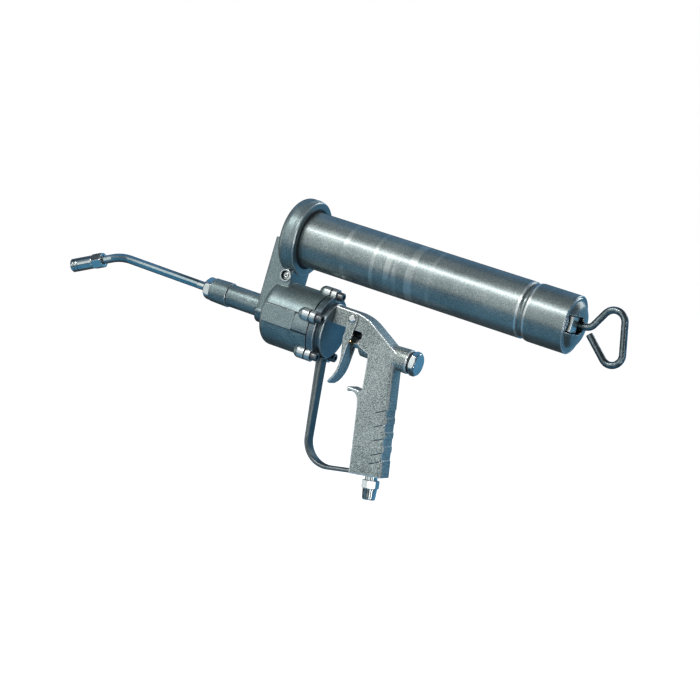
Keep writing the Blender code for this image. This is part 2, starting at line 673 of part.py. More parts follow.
def trigger():
    """Curved finger plate under two pivot ears."""
    front = blade_curve(2.0)
    channel = prism([(88.2, -76.5)] + front[1:-1] + [(82.8, -133.7), (104, -133.7), (104, -76.5)],
                    -BLADE_HALF + 1.7, BLADE_HALF - 1.7)
    between = prism([(80, -50), (80, -72.6), (91.2, -72.6), (91.2, -79), (110, -79), (110, -50)],
                    -EAR_INNER, EAR_INNER)
    return cut(joined(trigger_arms(), trigger_blade()), between, channel,
               moved(rod(-20, 20, 2.85, SMALL), across(*PIVOT)))


def trigger_pin():
    body = turned([(-15.6, 0), (-15.6, 3.0), (-14.9, 4.0), (-13.5, 4.2), (-13.5, 2.5), (15.6, 2.5), (16.0, 2.1),
                   (16.0, 0)], 18)
    return moved(body, across(*PIVOT))


def pin_clip():
    return moved(washer(13.6, 14.6, 2.8, 5.0, 18), across(*PIVOT))


def guard_outline():
    return rounded([(62.9, -108.7), (79.8, -218.6, 28), (141.0, guard_lower_z(141, 0)),
                    (141.0, guard_lower_z(141, 4.0)), (82.6, guard_lower_z(82.6, 4.0), 24), (69.6, -108.7)], 6)


def guard_screw_place():
    return standing(137.0, guard_lower_z(137.0, 0), -math.atan(GUARD_SLOPE))


def trigger_guard():
    solid = prism(guard_outline(), -GUARD_HALF, GUARD_HALF, "Y", 1.2, 1)
    return cut(solid, rod(60, 72, 1.6, 8, z=GUARD_PIN_Z),
               moved(rod(-3, 8, 1.9, 8), guard_screw_place()),
               moved(rod(-3, 1.9, 3.2, SMALL), guard_screw_place()))


def guard_screw():
    body = turned([(-0.1, 0), (-0.1, 2.9), (1.5, 2.9), (1.5, 1.45), (8.6, 1.45), (8.6, 0)], TINY)
    slot = block(-1, 0.6, -3.5, 3.5, -0.4, 0.4)
    return moved(cut(body, slot), guard_screw_place())


# ---------------------------------------------------------------- delivery line

def outlet_valve_body():
    """Collar on the nose that holds the outlet check valve, with the nipple for the pipe nut."""
    return turned([(-52.0, 8.95), (-52.0, 12.3), (-52.5, 12.8), (COLLAR_FRONT + 0.5, 12.2), (COLLAR_FRONT, 11.7),
                   (COLLAR_FRONT, 7.0), (-80.0, 7.0), (-80.0, 2.4), (-70.5, 2.4), (-70.5, 3.9), (-62.4, 3.9),
                   (-62.4, 8.95)], ROUND, z=PUMP_Z)


def outlet_nut():
    outer = turned([(NUT_FRONT, 0), (NUT_FRONT, 5.4), (NUT_FRONT + 2.2, 9.4), (NUT_FRONT + 4.4, 11.6),
                    (COLLAR_FRONT - 0.6, 11.9), (COLLAR_FRONT - GAP, 11.5), (COLLAR_FRONT - GAP, 0)],
                   ROUND, z=PUMP_Z)
    bar = prism(hexagon(21.4, math.pi / 6 + 0.1, 0, PUMP_Z), NUT_FRONT - 1, COLLAR_FRONT + 1, "X")
    body = boolean(outer, [bar], "INTERSECT")
    return cut(body, rod(NUT_FRONT - 2, COLLAR_FRONT + 3, 4.9, 20, z=PUMP_Z),
               rod(-80.6, COLLAR_FRONT + 3, 7.35, ROUND, z=PUMP_Z))


def pipe_fitting():
    """Plated stub that the nut clamps against the nipple, with the pipe brazed on its front."""
    return turned([(PIPE_START + GAP, PIPE_BORE), (PIPE_START + GAP, 4.55), (-82.0, 4.55), (-80.9, 4.55),
                   (-80.3, 4.55), (-80.3, PIPE_BORE)], 20, z=PUMP_Z)


def delivery_pipe():
    """Straight run, one bend down, and a short straight into the coupler."""
    bend = COUPLER_ANGLE
    points = [(PIPE_START, PUMP_Z)]
    points += arc(BEND_X, BEND_Z - BEND_RADIUS, BEND_RADIUS, 90, 90 + math.degrees(bend), 4)
    nose_x, nose_z = COUPLER_NOSE
    reach = COUPLER_LENGTH - 8.2
    points.append((nose_x + reach * math.cos(bend), nose_z + reach * math.sin(bend)))
    return swept([(x, 0.0, z) for x, z in points], PIPE_RADIUS, 12, PIPE_BORE)


def coupler_place():
    """Frame of the coupler: X runs from its nose towards the pipe."""
    x, z = COUPLER_NOSE
    return Matrix.Translation((x, 0, z)) @ Matrix.Rotation(-COUPLER_ANGLE, 4, "Y")


def coupler_sleeve():
    groove = 0.35
    profile = [(0, 4.95), (0, 6.6), (0.6, SLEEVE_RADIUS)]
    for x in (3.4, 7.4):
        profile += [(x, SLEEVE_RADIUS), (x + 0.3, SLEEVE_RADIUS - groove), (x + 0.9, SLEEVE_RADIUS - groove),
                    (x + 1.2, SLEEVE_RADIUS)]
    profile += [(SLEEVE_LENGTH - 0.5, SLEEVE_RADIUS), (SLEEVE_LENGTH, SLEEVE_RADIUS - 0.5), (SLEEVE_LENGTH, 6.15),
                (14.5, 6.15), (14.0, 4.95 + 14.0 * JAW_TAPER)]
    return moved(turned(profile, 16), coupler_place())


def coupler_body():
    collar = hex_piece(SLEEVE_LENGTH + 0.4, COUPLER_LENGTH, 14.8, 8.2, 1.0)
    stub = rod(17.0, SLEEVE_LENGTH + 1, 5.8, 20)
    body = cut(joined(collar, stub), rod(15, 25.0, 4.6, 18), rod(24, 32, 1.8, TINY),
               rod(COUPLER_LENGTH - 8.5, COUPLER_LENGTH + 2, 4.85, 20))
    return moved(body, coupler_place())


def coupler_jaw(index):
    """Quarter of a tapered collet that grips the grease nipple."""
    spread = math.radians(38)
    middle = math.pi / 2 * (index + 0.5)
    shape = bmesh.new()
    rows = []
    for x, inner, outer in ((0.6, 3.2, 4.6 + 0.6 * JAW_TAPER), (1.8, 2.7, 4.6 + 1.8 * JAW_TAPER),
                            (10.4, 2.7, 4.6 + 10.4 * JAW_TAPER)):
        angles = [middle - spread + 2 * spread * k / 4 for k in range(5)]
        ring = [(outer, a) for a in angles] + [(inner, a) for a in reversed(angles)]
        rows.append([shape.verts.new(Vector((x, r * math.cos(a), r * math.sin(a))) * MM) for r, a in ring])
    count = len(rows[0])
    for one, two in zip(rows, rows[1:]):
        for k in range(count):
            shape.faces.new((one[k], one[(k + 1) % count], two[(k + 1) % count], two[k]))
    half = count // 2
    for row in (rows[0], rows[-1]):
        for k in range(half - 1):
            shape.faces.new((row[k], row[k + 1], row[count - 2 - k], row[count - 1 - k]))
    return moved(finished(shape), coupler_place())


def coupler_seal():
    return moved(turned([(10.8, 1.2), (10.8, 3.4), (11.6, 4.2), (16.0, 4.2), (16.0, 1.2)], 16), coupler_place())


# ---------------------------------------------------------------- assembly

def build():
    clear_scene()
    cast = material("cast_aluminium", (0.34, 0.37, 0.37), 0.42, 0.75)
    grip_cast = material("handle_casting", (0.44, 0.47, 0.46), 0.42, 0.75)
    hammer = material("hammertone_paint", (0.36, 0.39, 0.38), 0.35, 0.6)
    chrome = material("chrome", (0.62, 0.66, 0.68), 0.12, 1.0)
    steel = material("plated_steel", (0.60, 0.61, 0.60), 0.28, 1.0)
    wire = material("dark_wire", (0.17, 0.19, 0.20), 0.38, 0.9)
    black = material("black_oxide", (0.02, 0.02, 0.022), 0.35, 0.6)
    brass = material("brass", (0.72, 0.46, 0.25), 0.3, 1.0)
    rubber = material("rubber", (0.03, 0.03, 0.032), 0.7, 0.0)
    spring = material("spring_steel", (0.45, 0.46, 0.47), 0.35, 1.0)

    barrel_turn = axis_empty("barrel_axis", 0, 0, 0)
    rod_pull = axis_empty("rod_axis", BARREL_REAR, 0, 0)
    pump = axis_empty("piston_axis", PISTON_REAR, 0, PUMP_Z)
    outlet = axis_empty("outlet_axis", NOSE_FRONT, 0, PUMP_Z)
    pull = axis_empty("trigger_axis", PIVOT[0], 0, PIVOT[1])
    valve = axis_empty("valve_axis", BOSS_FRONT, 0, VALVE_Z)
    coupler = axis_empty("coupler_axis", COUPLER_NOSE[0], 0, COUPLER_NOSE[1])

    part("head_casting", head_casting(), cast)
    part("bleed_screw", bleed_screw(), steel)
    part("barrel_seal", barrel_seal(), rubber)
    part("barrel_gasket", barrel_gasket(), rubber)

    part("barrel_tube", barrel_tube(), hammer, barrel_turn)
    part("barrel_end_cap", barrel_end_cap(), hammer, barrel_turn)
    part("rod_latch_plate", rod_latch_plate(), steel, barrel_turn)
    part("follower_spring", coil(52.6, 302.0, 19.0, 1.1, 12, 20.0), spring, barrel_turn)
    part("follower_rod", swept(rod_path(), ROD_RADIUS, 8), wire, rod_pull)
    part("rod_nut", rod_nut(), steel, rod_pull)
    part("follower_washer", washer(29.8, 31.4, 3.85, 13, 24), steel, rod_pull)
    part("follower_cup", follower_cup(), rubber, rod_pull)
    part("follower_plate", washer(50.3, 52.3, 3.85, 22.5, 20), steel, rod_pull)

    part("air_piston", air_piston(), cast, pump)
    part("piston_seal", piston_seal(), rubber, pump)
    part("pump_plunger", plunger(), steel, pump)
    part("piston_nut", piston_nut(), steel, pump)
    part("return_spring", coil(CYLINDER_FLOOR + GAP, PISTON_FRONT - GAP, 18.5, 1.2, 4, None, 10, z=PUMP_Z),
         spring, pump)
    part("plunger_seal", washer(8.0, 11.6, PLUNGER_RADIUS + GAP, 7.0, 24, z=PUMP_Z), rubber)

    part("rear_cover", rear_cover(), cast)
    part("cover_gasket", washer(CYLINDER_REAR + GAP, COVER_FRONT - GAP, 28.3, 31.4, FINE, z=PUMP_Z), rubber)
    cover_screw = cap_screw(12, 17.2, LUG_SEAT + GAP, 6.2, 4.5, 2.5, 4.2, 0, PUMP_Z + LUG_CIRCLE)
    first = part("cap_screw_1", cover_screw, black)
    for number, degrees in enumerate(LUG_ANGLES[1:], start=2):
        turn = placed_mesh("cap_screw_%d" % number, first.data)
        angle = math.radians(degrees)
        centre = Vector((0, 0, PUMP_Z)) * MM
        spin = Matrix.Rotation(angle, 4, "X")
        turn.matrix_world = Matrix.Translation(centre) @ spin @ Matrix.Translation(-centre)
    for number, y in enumerate((-BOLT_Y, BOLT_Y), start=1):
        part("handle_bolt_%d" % number, cap_screw(10, 25.5, 60.7, 4.6, 4.4, 2.5, 4.0, y, BOLT_Z, -1), black)

    part("handle", handle(), grip_cast)
    part("valve_gland", valve_gland(), steel)
    part("valve_stem", valve_stem(), brass, valve)
    part("valve_seat", washer(116.0, 120.0, 3.0, 7.7, 24, z=VALVE_Z), rubber)
    part("valve_spring", coil(123.9, 157.2, 4.9, 0.55, 6, z=VALVE_Z), spring, valve)
    part("rear_plug", rear_plug(), chrome)
    part("plug_washer", washer(161.6, 163.1, 8.1, 10.8, 24, z=VALVE_Z), rubber)
    part("stop_screw", stop_screw(), black)
    part("air_inlet", air_inlet(), chrome)

    part("trigger", trigger(), grip_cast, pull)
    part("trigger_pin", trigger_pin(), steel)
    part("pin_clip", pin_clip(), spring)
    part("trigger_guard", trigger_guard(), cast)
    part("guard_pin", rod(59.8, 68.5, 1.3, TINY, z=GUARD_PIN_Z), steel)
    part("guard_screw", guard_screw(), steel)

    part("outlet_valve_body", outlet_valve_body(), cast)
    part("check_ball", turned(arc(-56.4, 0, 3.0, 180, 0, 8), 16, z=PUMP_Z), steel, outlet)
    part("check_spring", coil(-70.2, -59.7, 2.7, 0.4, 4, z=PUMP_Z), spring, outlet)
    part("outlet_nut", outlet_nut(), chrome)
    part("pipe_fitting", pipe_fitting(), chrome)
    part("delivery_pipe", delivery_pipe(), chrome)
    part("coupler_sleeve", coupler_sleeve(), chrome)
    part("coupler_body", coupler_body(), chrome)
    for index in range(4):
        part("coupler_jaw_%d" % (index + 1), coupler_jaw(index), steel, coupler)
    part("coupler_seal", coupler_seal(), rubber, coupler)
    part("coupler_spring", moved(coil(16.3, 24.7, 3.2, 0.4, 3), coupler_place()), spring, coupler)


build()
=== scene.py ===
"""Looks for the air-operated pistol grease gun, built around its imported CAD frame.

Lengths in the shape functions are in millimetres, as in the CAD source. The barrel's axis is X, the outlet is
towards -X, Z is up and -Y is the gun's left side. Finer pieces replace most CAD nodes; a few small
nodes inside the gun keep their mesh and only take the finishes.
"""

import json
import math

import bmesh
import bpy
from mathutils import Matrix, Vector


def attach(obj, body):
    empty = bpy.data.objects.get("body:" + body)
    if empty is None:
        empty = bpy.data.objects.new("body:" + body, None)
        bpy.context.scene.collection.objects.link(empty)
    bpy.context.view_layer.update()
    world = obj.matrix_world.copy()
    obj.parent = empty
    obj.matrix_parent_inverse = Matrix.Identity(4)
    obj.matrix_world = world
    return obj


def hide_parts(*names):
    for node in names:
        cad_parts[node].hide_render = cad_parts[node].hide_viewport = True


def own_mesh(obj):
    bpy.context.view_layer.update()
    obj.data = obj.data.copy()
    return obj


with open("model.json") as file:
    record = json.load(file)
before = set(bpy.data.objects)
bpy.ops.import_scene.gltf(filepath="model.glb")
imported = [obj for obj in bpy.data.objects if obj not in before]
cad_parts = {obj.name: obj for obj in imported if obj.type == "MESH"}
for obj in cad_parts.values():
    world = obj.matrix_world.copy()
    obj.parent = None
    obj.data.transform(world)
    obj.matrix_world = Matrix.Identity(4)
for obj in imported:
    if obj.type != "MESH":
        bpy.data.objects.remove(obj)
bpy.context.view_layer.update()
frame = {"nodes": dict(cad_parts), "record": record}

MM = 0.001
GAP = 0.3  # clearance kept between neighbouring pieces

# Grease barrel
BARREL_RADIUS = 28.5
BARREL_WALL = 1.5
BARREL_FRONT = 7.0
BARREL_REAR = 311.8
BEAD_X = 266.3  # rolled stop bead near the rear
BEAD_DEPTH = 1.9
REAR_RADIUS = 29.0  # barrel radius behind the bead
CAP_TOP_X = 319.5  # crown of the pressed end cap
CAP_HOLE = 5.8
ROD_RADIUS = 3.5  # follower rod

# Head casting
RING_RADIUS = 39.25
RING_LENGTH = 20.0
RING_FILLET = 9.0
SOCKET_FLOOR = 5.0
NECK_FRONT = -12.5
NECK_REAR = 18.0
NECK_HALF_WIDTH = 18.0
NECK_TOP = -7.0
NECK_BOTTOM = -96.3
NOSE_RADIUS = 11.55
NOSE_FRONT = -51.7

# Air motor, on the lower axis
PUMP_Z = -80.2
CYLINDER_FRONT = 1.0
CYLINDER_REAR = 58.0
CYLINDER_RADIUS = 33.8
CYLINDER_BORE = 28.05
CYLINDER_FLOOR = 12.0
LUG_CIRCLE = 34.5
LUG_RADIUS = 6.5
LUG_ANGLES = (0, 72, 144, 216, 288)
LUG_SEAT = 65.0
SCREW_HOLE = 3.0
COVER_FRONT = 59.3
COVER_REAR = 71.7
HUB_RADIUS = 28.0
PISTON_FRONT = 46.0
PISTON_REAR = 54.0
PLUNGER_RADIUS = 3.5
GREASE_PORT_X = -3.0

# Handle and trigger
HANDLE_FRONT = 72.0
HANDLE_HALF = 11.0
BLOCK_BOTTOM = -71.6
VALVE_Z = -84.6
BOSS_FRONT = 105.2
BOSS_REAR = 161.3
BOSS_BORE = 8.05
PIVOT = (93.2, -60.6)
EAR_INNER = 11.45
EAR_OUTER = 13.2
BLADE_HALF = 10.6
AIR_PORT_Z = -67.0
BOLT_Z = -61.5
BOLT_Y = 6.0
STOP_Z = -75.9
RAKE = math.radians(9.3)
REAR_SLOPE = 0.191  # how far the grip's rear edge leans back per mm down
INLET = (155.3, -204.9)  # where the inlet's axis leaves the grip
GUARD_HALF = 7.0
GUARD_SLOPE = 0.203  # rise of the guard's lower stretch towards the grip
GUARD_PIN_Z = -111.2

# Delivery line
COLLAR_FRONT = -72.7
NUT_FRONT = -83.0
PIPE_RADIUS = 4.5
PIPE_BORE = 2.4
PIPE_START = -92.1
BEND_X = -178.5
BEND_Z = -79.3
BEND_RADIUS = 50.0
COUPLER_ANGLE = math.radians(25.5)
COUPLER_NOSE = (-244.3, -105.1)
COUPLER_LENGTH = 38.5
SLEEVE_LENGTH = 26.0
SLEEVE_RADIUS = 7.25
JAW_TAPER = 0.08

FINE = 128
ROUND = 72
SMALL = 40
TINY = 24
DETAIL = 4  # arc steps per step of the CAD outline


# ---- outlines

def arc(cx, cz, radius, start, end, steps):
    """Points of an arc, with its angles in degrees."""
    steps *= DETAIL
    angles = [math.radians(start + (end - start) * i / steps) for i in range(steps + 1)]
    return [(cx + radius * math.cos(a), cz + radius * math.sin(a)) for a in angles]


def rounded(corners, steps=4):
    """Outline through (a, b, radius) corners, each rounded; no radius makes it sharp."""
    points = []
    steps *= DETAIL
    count = len(corners)
    for i, corner in enumerate(corners):
        here = Vector(corner[:2])
        radius = corner[2] if len(corner) > 2 else 0.0
        if radius <= 0:
            points.append(tuple(here))
            continue
        back = (Vector(corners[i - 1][:2]) - here).normalized()
        ahead = (Vector(corners[(i + 1) % count][:2]) - here).normalized()
        half = back.angle(ahead) / 2
        centre = here + (back + ahead).normalized() * (radius / math.sin(half))
        first = here + back * (radius / math.tan(half)) - centre
        last = here + ahead * (radius / math.tan(half)) - centre
        turn = first.angle_signed(last)
        for k in range(steps + 1):
            points.append(tuple(centre + Matrix.Rotation(-turn * k / steps, 2) @ first))
    return points


# ---- shapes

def finished(shape):
    bmesh.ops.remove_doubles(shape, verts=shape.verts, dist=1e-7)
    bmesh.ops.recalc_face_normals(shape, faces=shape.faces)
    return shape


def turned(profile, steps=ROUND, y=0.0, z=0.0):
    """Solid turned about a line along X, from (x, radius) points that end on the axis or form a ring."""
    shape = bmesh.new()
    verts = [shape.verts.new((x * MM, 0.0, r * MM)) for x, r in profile]
    edges = [shape.edges.new(pair) for pair in zip(verts, verts[1:])]
    if profile[0][1] > 0:
        edges.append(shape.edges.new((verts[-1], verts[0])))
    bmesh.ops.spin(shape, geom=verts + edges, cent=(0, 0, 0), axis=(1, 0, 0), angle=2 * math.pi,
                   steps=steps, use_merge=True)
    bmesh.ops.translate(shape, vec=(0, y * MM, z * MM), verts=shape.verts)
    return finished(shape)


def rod(x0, x1, radius, steps=ROUND, y=0.0, z=0.0, chamfer=0.0):
    """Plain cylinder along X, with an optional chamfer at both ends."""
    if chamfer:
        profile = [(x0, 0), (x0, radius - chamfer), (x0 + chamfer, radius),
                   (x1 - chamfer, radius), (x1, radius - chamfer), (x1, 0)]
    else:
        profile = [(x0, 0), (x0, radius), (x1, radius), (x1, 0)]
    return turned(profile, steps, y, z)


def washer(x0, x1, inner, outer, steps=ROUND, y=0.0, z=0.0):
    return turned([(x0, inner), (x0, outer), (x1, outer), (x1, inner)], steps, y, z)


def prism(outline, low, high, along="Y", bevel=0.0, segments=2):
    """Outline swept from low to high along Y (outline in X, Z), Z (in X, Y) or X (in Y, Z)."""
    place = {"X": lambda a, b, c: (c, a, b),
             "Y": lambda a, b, c: (a, c, b),
             "Z": lambda a, b, c: (a, b, c)}[along]
    shape = bmesh.new()
    base = shape.faces.new([shape.verts.new(Vector(place(a, b, low)) * MM) for a, b in outline])
    rim = list(base.edges)
    grown = bmesh.ops.extrude_face_region(shape, geom=[base])["geom"]
    top = [item for item in grown if isinstance(item, bmesh.types.BMFace)][0]
    shift = Vector(place(0, 0, high - low)) * MM
    bmesh.ops.translate(shape, vec=shift, verts=top.verts)
    bmesh.ops.recalc_face_normals(shape, faces=shape.faces)
    if bevel:
        rim = [edge for edge in rim if edge.is_valid] + list(top.edges)
        bmesh.ops.bevel(shape, geom=rim, offset=bevel * MM, segments=segments + 2, profile=0.5,
                        affect="EDGES")
    return shape


def block(x0, x1, y0, y1, z0, z1, bevel=0.0):
    return prism([(x0, z0), (x1, z0), (x1, z1), (x0, z1)], y0, y1, "Y", bevel, 1)


def hexagon(across_flats, turn=0.0, y=0.0, z=0.0):
    radius = across_flats / math.sqrt(3)
    angles = [turn + math.radians(60 * i) for i in range(6)]
    return [(y + radius * math.cos(a), z + radius * math.sin(a)) for a in angles]


def swept(path, radius, sides=10, bore=0.0):
    """Round bar, or tube if it has a bore, along a list of points."""
    shape = bmesh.new()
    points = [Vector(p) for p in path]
    normal = Vector((0, 1, 0))
    rings = []
    for i, point in enumerate(points):
        tangent = (points[min(i + 1, len(points) - 1)] - points[max(i - 1, 0)]).normalized()
        normal = (normal - tangent * normal.dot(tangent)).normalized()
        side = tangent.cross(normal)
        for size in (radius, bore)[:2 if bore else 1]:
            rings.append([shape.verts.new((point + size * (normal * math.cos(a) + side * math.sin(a))) * MM)
                          for a in (2 * math.pi * k / sides for k in range(sides))])
    skins = [rings[0::2], rings[1::2]] if bore else [rings]
    for skin in skins:
        for one, two in zip(skin, skin[1:]):
            for k in range(sides):
                shape.faces.new((one[k], one[(k + 1) % sides], two[(k + 1) % sides], two[k]))
    for end in (0, -1):
        if bore:
            outer, inner = skins[0][end], skins[1][end]
            for k in range(sides):
                shape.faces.new((outer[k], outer[(k + 1) % sides], inner[(k + 1) % sides], inner[k]))
        else:
            shape.faces.new(skins[0][end])
    return finished(shape)


def coil(x0, x1, radius, wire, turns, end_radius=None, per_turn=8, sides=4, y=0.0, z=0.0):
    """Open coil spring along X; its first and last turns lie flatter than the rest."""
    end_radius = radius if end_radius is None else end_radius
    steps = int(turns * per_turn)
    path = []
    for i in range(steps + 1):
        t = i / steps
        eased = t - 0.5 / turns * math.sin(2 * math.pi * t) / math.pi
        size = radius + (end_radius - radius) * t
        angle = 2 * math.pi * turns * t
        path.append((x0 + wire + (x1 - x0 - 2 * wire) * eased, y + size * math.sin(angle),
                     z + size * math.cos(angle)))
    return swept(path, wire, sides)


def temporary(shape):
    mesh = bpy.data.meshes.new("shape")
    shape.to_mesh(mesh)
    shape.free()
    item = bpy.data.objects.new("shape", mesh)
    bpy.context.scene.collection.objects.link(item)
    return item


def boolean(base, tools, operation):
    """Joins, cuts or intersects shapes one after another and returns the result as a new shape."""
    for tool in tools:
        pair = [temporary(base), temporary(tool)]
        step = pair[0].modifiers.new("step", "BOOLEAN")
        step.object = pair[1]
        step.operation = operation
        step.solver = "EXACT"
        bpy.context.view_layer.update()
        final = pair[0].evaluated_get(bpy.context.evaluated_depsgraph_get())
        base = bmesh.new()
        base.from_mesh(final.to_mesh())
        for item in pair:
            bpy.data.objects.remove(item)
        bmesh.ops.remove_doubles(base, verts=base.verts, dist=2e-6)
        bmesh.ops.dissolve_degenerate(base, edges=base.edges, dist=1e-6)
    return base


def joined(base, *others):
    return boolean(base, list(others), "UNION")


def cut(base, *tools):
    return boolean(base, list(tools), "DIFFERENCE")


def hex_piece(x0, x1, across_flats, corner_radius, lead=1.0, y=0.0, z=0.0, turn=0.0):
    """Hexagonal bar along X with turned chamfers on its ends."""
    bar = prism(hexagon(across_flats, turn, y, z), x0, x1, "X")
    limit = turned([(x0 - 1, 0), (x0 - 1, corner_radius - lead * 1.9), (x0 + lead, corner_radius + 0.2),
                    (x1 - lead, corner_radius + 0.2), (x1 + 1, corner_radius - lead * 1.9), (x1 + 1, 0)],
                   ROUND, y, z)
    return boolean(bar, [limit], "INTERSECT")


def moved(shape, matrix):
    scaled = Matrix.Translation(matrix.to_translation() * MM) @ matrix.to_3x3().to_4x4()
    bmesh.ops.transform(shape, matrix=scaled, verts=shape.verts)
    return shape


def across(x, z):
    """Turns a shape built along X so that it lies along Y through (x, z)."""
    return Matrix.Translation((x, 0, z)) @ Matrix.Rotation(math.pi / 2, 4, "Z")


def standing(x, z, lean=0.0):
    """Turns a shape built along X to point up through (x, z), leaning forward at its top by an angle."""
    return Matrix.Translation((x, 0, z)) @ Matrix.Rotation(-math.pi / 2 - lean, 4, "Y")


# ---- head and air cylinder

def at_lug(degrees, shape):
    """Moves a shape built on the X axis to the lug that is so many degrees round from the top one."""
    centre = Matrix.Translation((0, 0, PUMP_Z))
    turn = Matrix.Rotation(math.radians(degrees), 4, "X")
    return moved(shape, centre @ turn @ Matrix.Translation((0, 0, LUG_CIRCLE)))


def head_ring():
    corner = arc(RING_FILLET, RING_RADIUS - RING_FILLET, RING_FILLET, 180, 90, 3)
    step_x = RING_LENGTH - 5.0
    step = RING_RADIUS - 0.5
    return turned([(0, 0)] + corner + [(step_x, RING_RADIUS), (step_x + 0.4, step), (step_x + 1.6, step),
                  (step_x + 1.9, step - 0.5), (RING_LENGTH - 1.0, step - 0.5), (RING_LENGTH, step - 1.6),
                  (RING_LENGTH, 0)], FINE)


def head_neck():
    """Column between ring and cylinder, with rounded front corners and a half-round underside."""
    plan = rounded([(NECK_FRONT, -NECK_HALF_WIDTH, 5), (NECK_REAR, -NECK_HALF_WIDTH, 1.5),
                    (NECK_REAR, NECK_HALF_WIDTH, 1.5), (NECK_FRONT, NECK_HALF_WIDTH, 5)], 3)
    half = NECK_HALF_WIDTH + 1.0
    section = rounded([(-half, 5), (-half, NECK_BOTTOM, 17), (half, NECK_BOTTOM, 17), (half, 5)], 5)
    return boolean(prism(plan, NECK_BOTTOM - 5, NECK_TOP, "Z"), [prism(section, -20, 30, "X")], "INTERSECT")


def air_cylinder():
    fillet = 7.0
    corner = arc(CYLINDER_FRONT + fillet, CYLINDER_RADIUS - fillet, fillet, 180, 90, 3)
    return turned([(CYLINDER_FRONT, 0)] + corner + [(CYLINDER_REAR + 1, CYLINDER_RADIUS),
                                                    (CYLINDER_REAR + 1, 0)],
                  FINE, z=PUMP_Z)


def nose():
    return turned([(NOSE_FRONT - 10.3, 0), (NOSE_FRONT - 10.3, 8.0), (NOSE_FRONT - 9.7, 8.6),
                   (NOSE_FRONT, 8.6),
                   (NOSE_FRONT, NOSE_RADIUS - 0.5), (NOSE_FRONT + 0.5, NOSE_RADIUS), (-6, NOSE_RADIUS),
                   (-6, 0)],
                  ROUND, z=PUMP_Z)


def lug(degrees):
    front = arc(CYLINDER_REAR - 7, 0, LUG_RADIUS, 180, 90, 3)
    return at_lug(degrees, turned(front + [(CYLINDER_REAR + 2, LUG_RADIUS), (CYLINDER_REAR + 2, 0)], SMALL))


def head_casting():
    rib = turned(arc(-9.5, 0, 3.6, 180, 90, 3) + [(3, 3.6), (3, 0)], SMALL, -15.2, PUMP_Z - 3.4)
    pad = block(6.3, 40.8, -34.4, -24, PUMP_Z - 9.2, PUMP_Z + 9.2)
    boss = moved(rod(-19.6, -12, 6.5, 20, chamfer=0.5), across(11.3, -41.0))
    solid = joined(head_ring(), head_neck(), air_cylinder(), nose(), rib, pad, boss,
                   *[lug(a) for a in LUG_ANGLES])
    grease_drop = moved(rod(-80.2, -14.5, 3.5, SMALL), standing(GREASE_PORT_X, 0))
    bleed_path = swept([(11.3, -13.5, -41.0), (-3.0, -0.5, -36.0)], 1.2, 8)
    return cut(solid,
               rod(CYLINDER_REAR, CYLINDER_REAR + 6, 60, 16, z=PUMP_Z),
               rod(SOCKET_FLOOR, RING_LENGTH + 5, BARREL_RADIUS + 0.4, FINE),
               rod(RING_LENGTH - 3.4, RING_LENGTH + 5, 31.2, FINE),
               rod(CYLINDER_FLOOR, CYLINDER_REAR + 4, CYLINDER_BORE, FINE, z=PUMP_Z),
               rod(7.7, CYLINDER_FLOOR + 1, 7.3, ROUND, z=PUMP_Z),
               rod(-46.0, 8.5, PLUNGER_RADIUS + 0.35, SMALL, z=PUMP_Z),
               rod(-55.0, -45.0, 2.2, TINY, z=PUMP_Z),
               rod(-64.0, -54.0, 4.3, SMALL, z=PUMP_Z),
               grease_drop,
               rod(GREASE_PORT_X, SOCKET_FLOOR + 2, 3.2, SMALL, z=-18.0),
               moved(rod(-25, -12.6, 4.9, 20), across(11.3, -41.0)),
               bleed_path,
               moved(rod(-118, -100, 1.5, 8), standing(16, 0)),
               *[at_lug(a, rod(47.5, CYLINDER_REAR + 4, SCREW_HOLE, TINY)) for a in LUG_ANGLES])


def bleed_screw():
    """Small fitting at the bottom of the counterbore in the neck's side."""
    body = turned([(-17.6, 0.9), (-17.6, 2.3), (-16.6, 2.6), (-16.4, 4.0), (-14.0, 4.5), (-12.95, 4.5),
                   (-12.95, 0.9)],
                  18)
    return moved(body, across(11.3, -41.0))


def barrel_seal():
    """Rubber lip that closes the mouth of the ring round the barrel."""
    inner = BARREL_RADIUS + GAP
    return turned([(16.9, inner), (16.9, 30.9), (19.3, 30.9), (20.6, 30.0), (20.6, inner)], FINE)


# ---- barrel

def barrel_profile_top():
    """Outer (x, radius) line of the barrel, front to rear, with its rolled bead."""
    bead = arc(BEAD_X, BARREL_RADIUS + 1.6, BEAD_DEPTH + 1.6, 208, 332, 4)
    return ([(BARREL_FRONT, BARREL_RADIUS), (BEAD_X - 5.2, BARREL_RADIUS)] + bead
            + [(BEAD_X + 5.4, REAR_RADIUS), (BARREL_REAR - 0.5, REAR_RADIUS),
               (BARREL_REAR, REAR_RADIUS - 0.5)])


def barrel_tube():
    outer = barrel_profile_top()
    inner = [(x, radius - BARREL_WALL) for x, radius in reversed(outer[:-2])]
    inner.insert(0, (BARREL_REAR, REAR_RADIUS - BARREL_WALL))
    return turned(outer + inner, FINE)


def barrel_end_cap():
    edge = REAR_RADIUS - BARREL_WALL - GAP
    rim = BARREL_REAR + 0.4
    shell = turned([(300, edge), (BARREL_REAR - 0.4, edge), (rim, edge - 0.8), (rim, 23.8),
                    (rim + 1.2, 22.6),
                    (316.0, 20.6), (318.0, 17.2), (CAP_TOP_X, 9.5), (CAP_TOP_X, CAP_HOLE),
                    (CAP_TOP_X - 1.5, CAP_HOLE), (CAP_TOP_X - 1.5, 9.0), (316.6, 16.4), (314.8, 19.4),
                    (rim - 0.3, 21.4), (rim - 1.5, 23.0), (rim - 1.5, edge - 1.5), (300, edge - 1.5)], FINE)
    slot = block(303.5, CAP_TOP_X + 2, -22.5, -0.5, -7.5, 9.5)
    return cut(shell, slot)


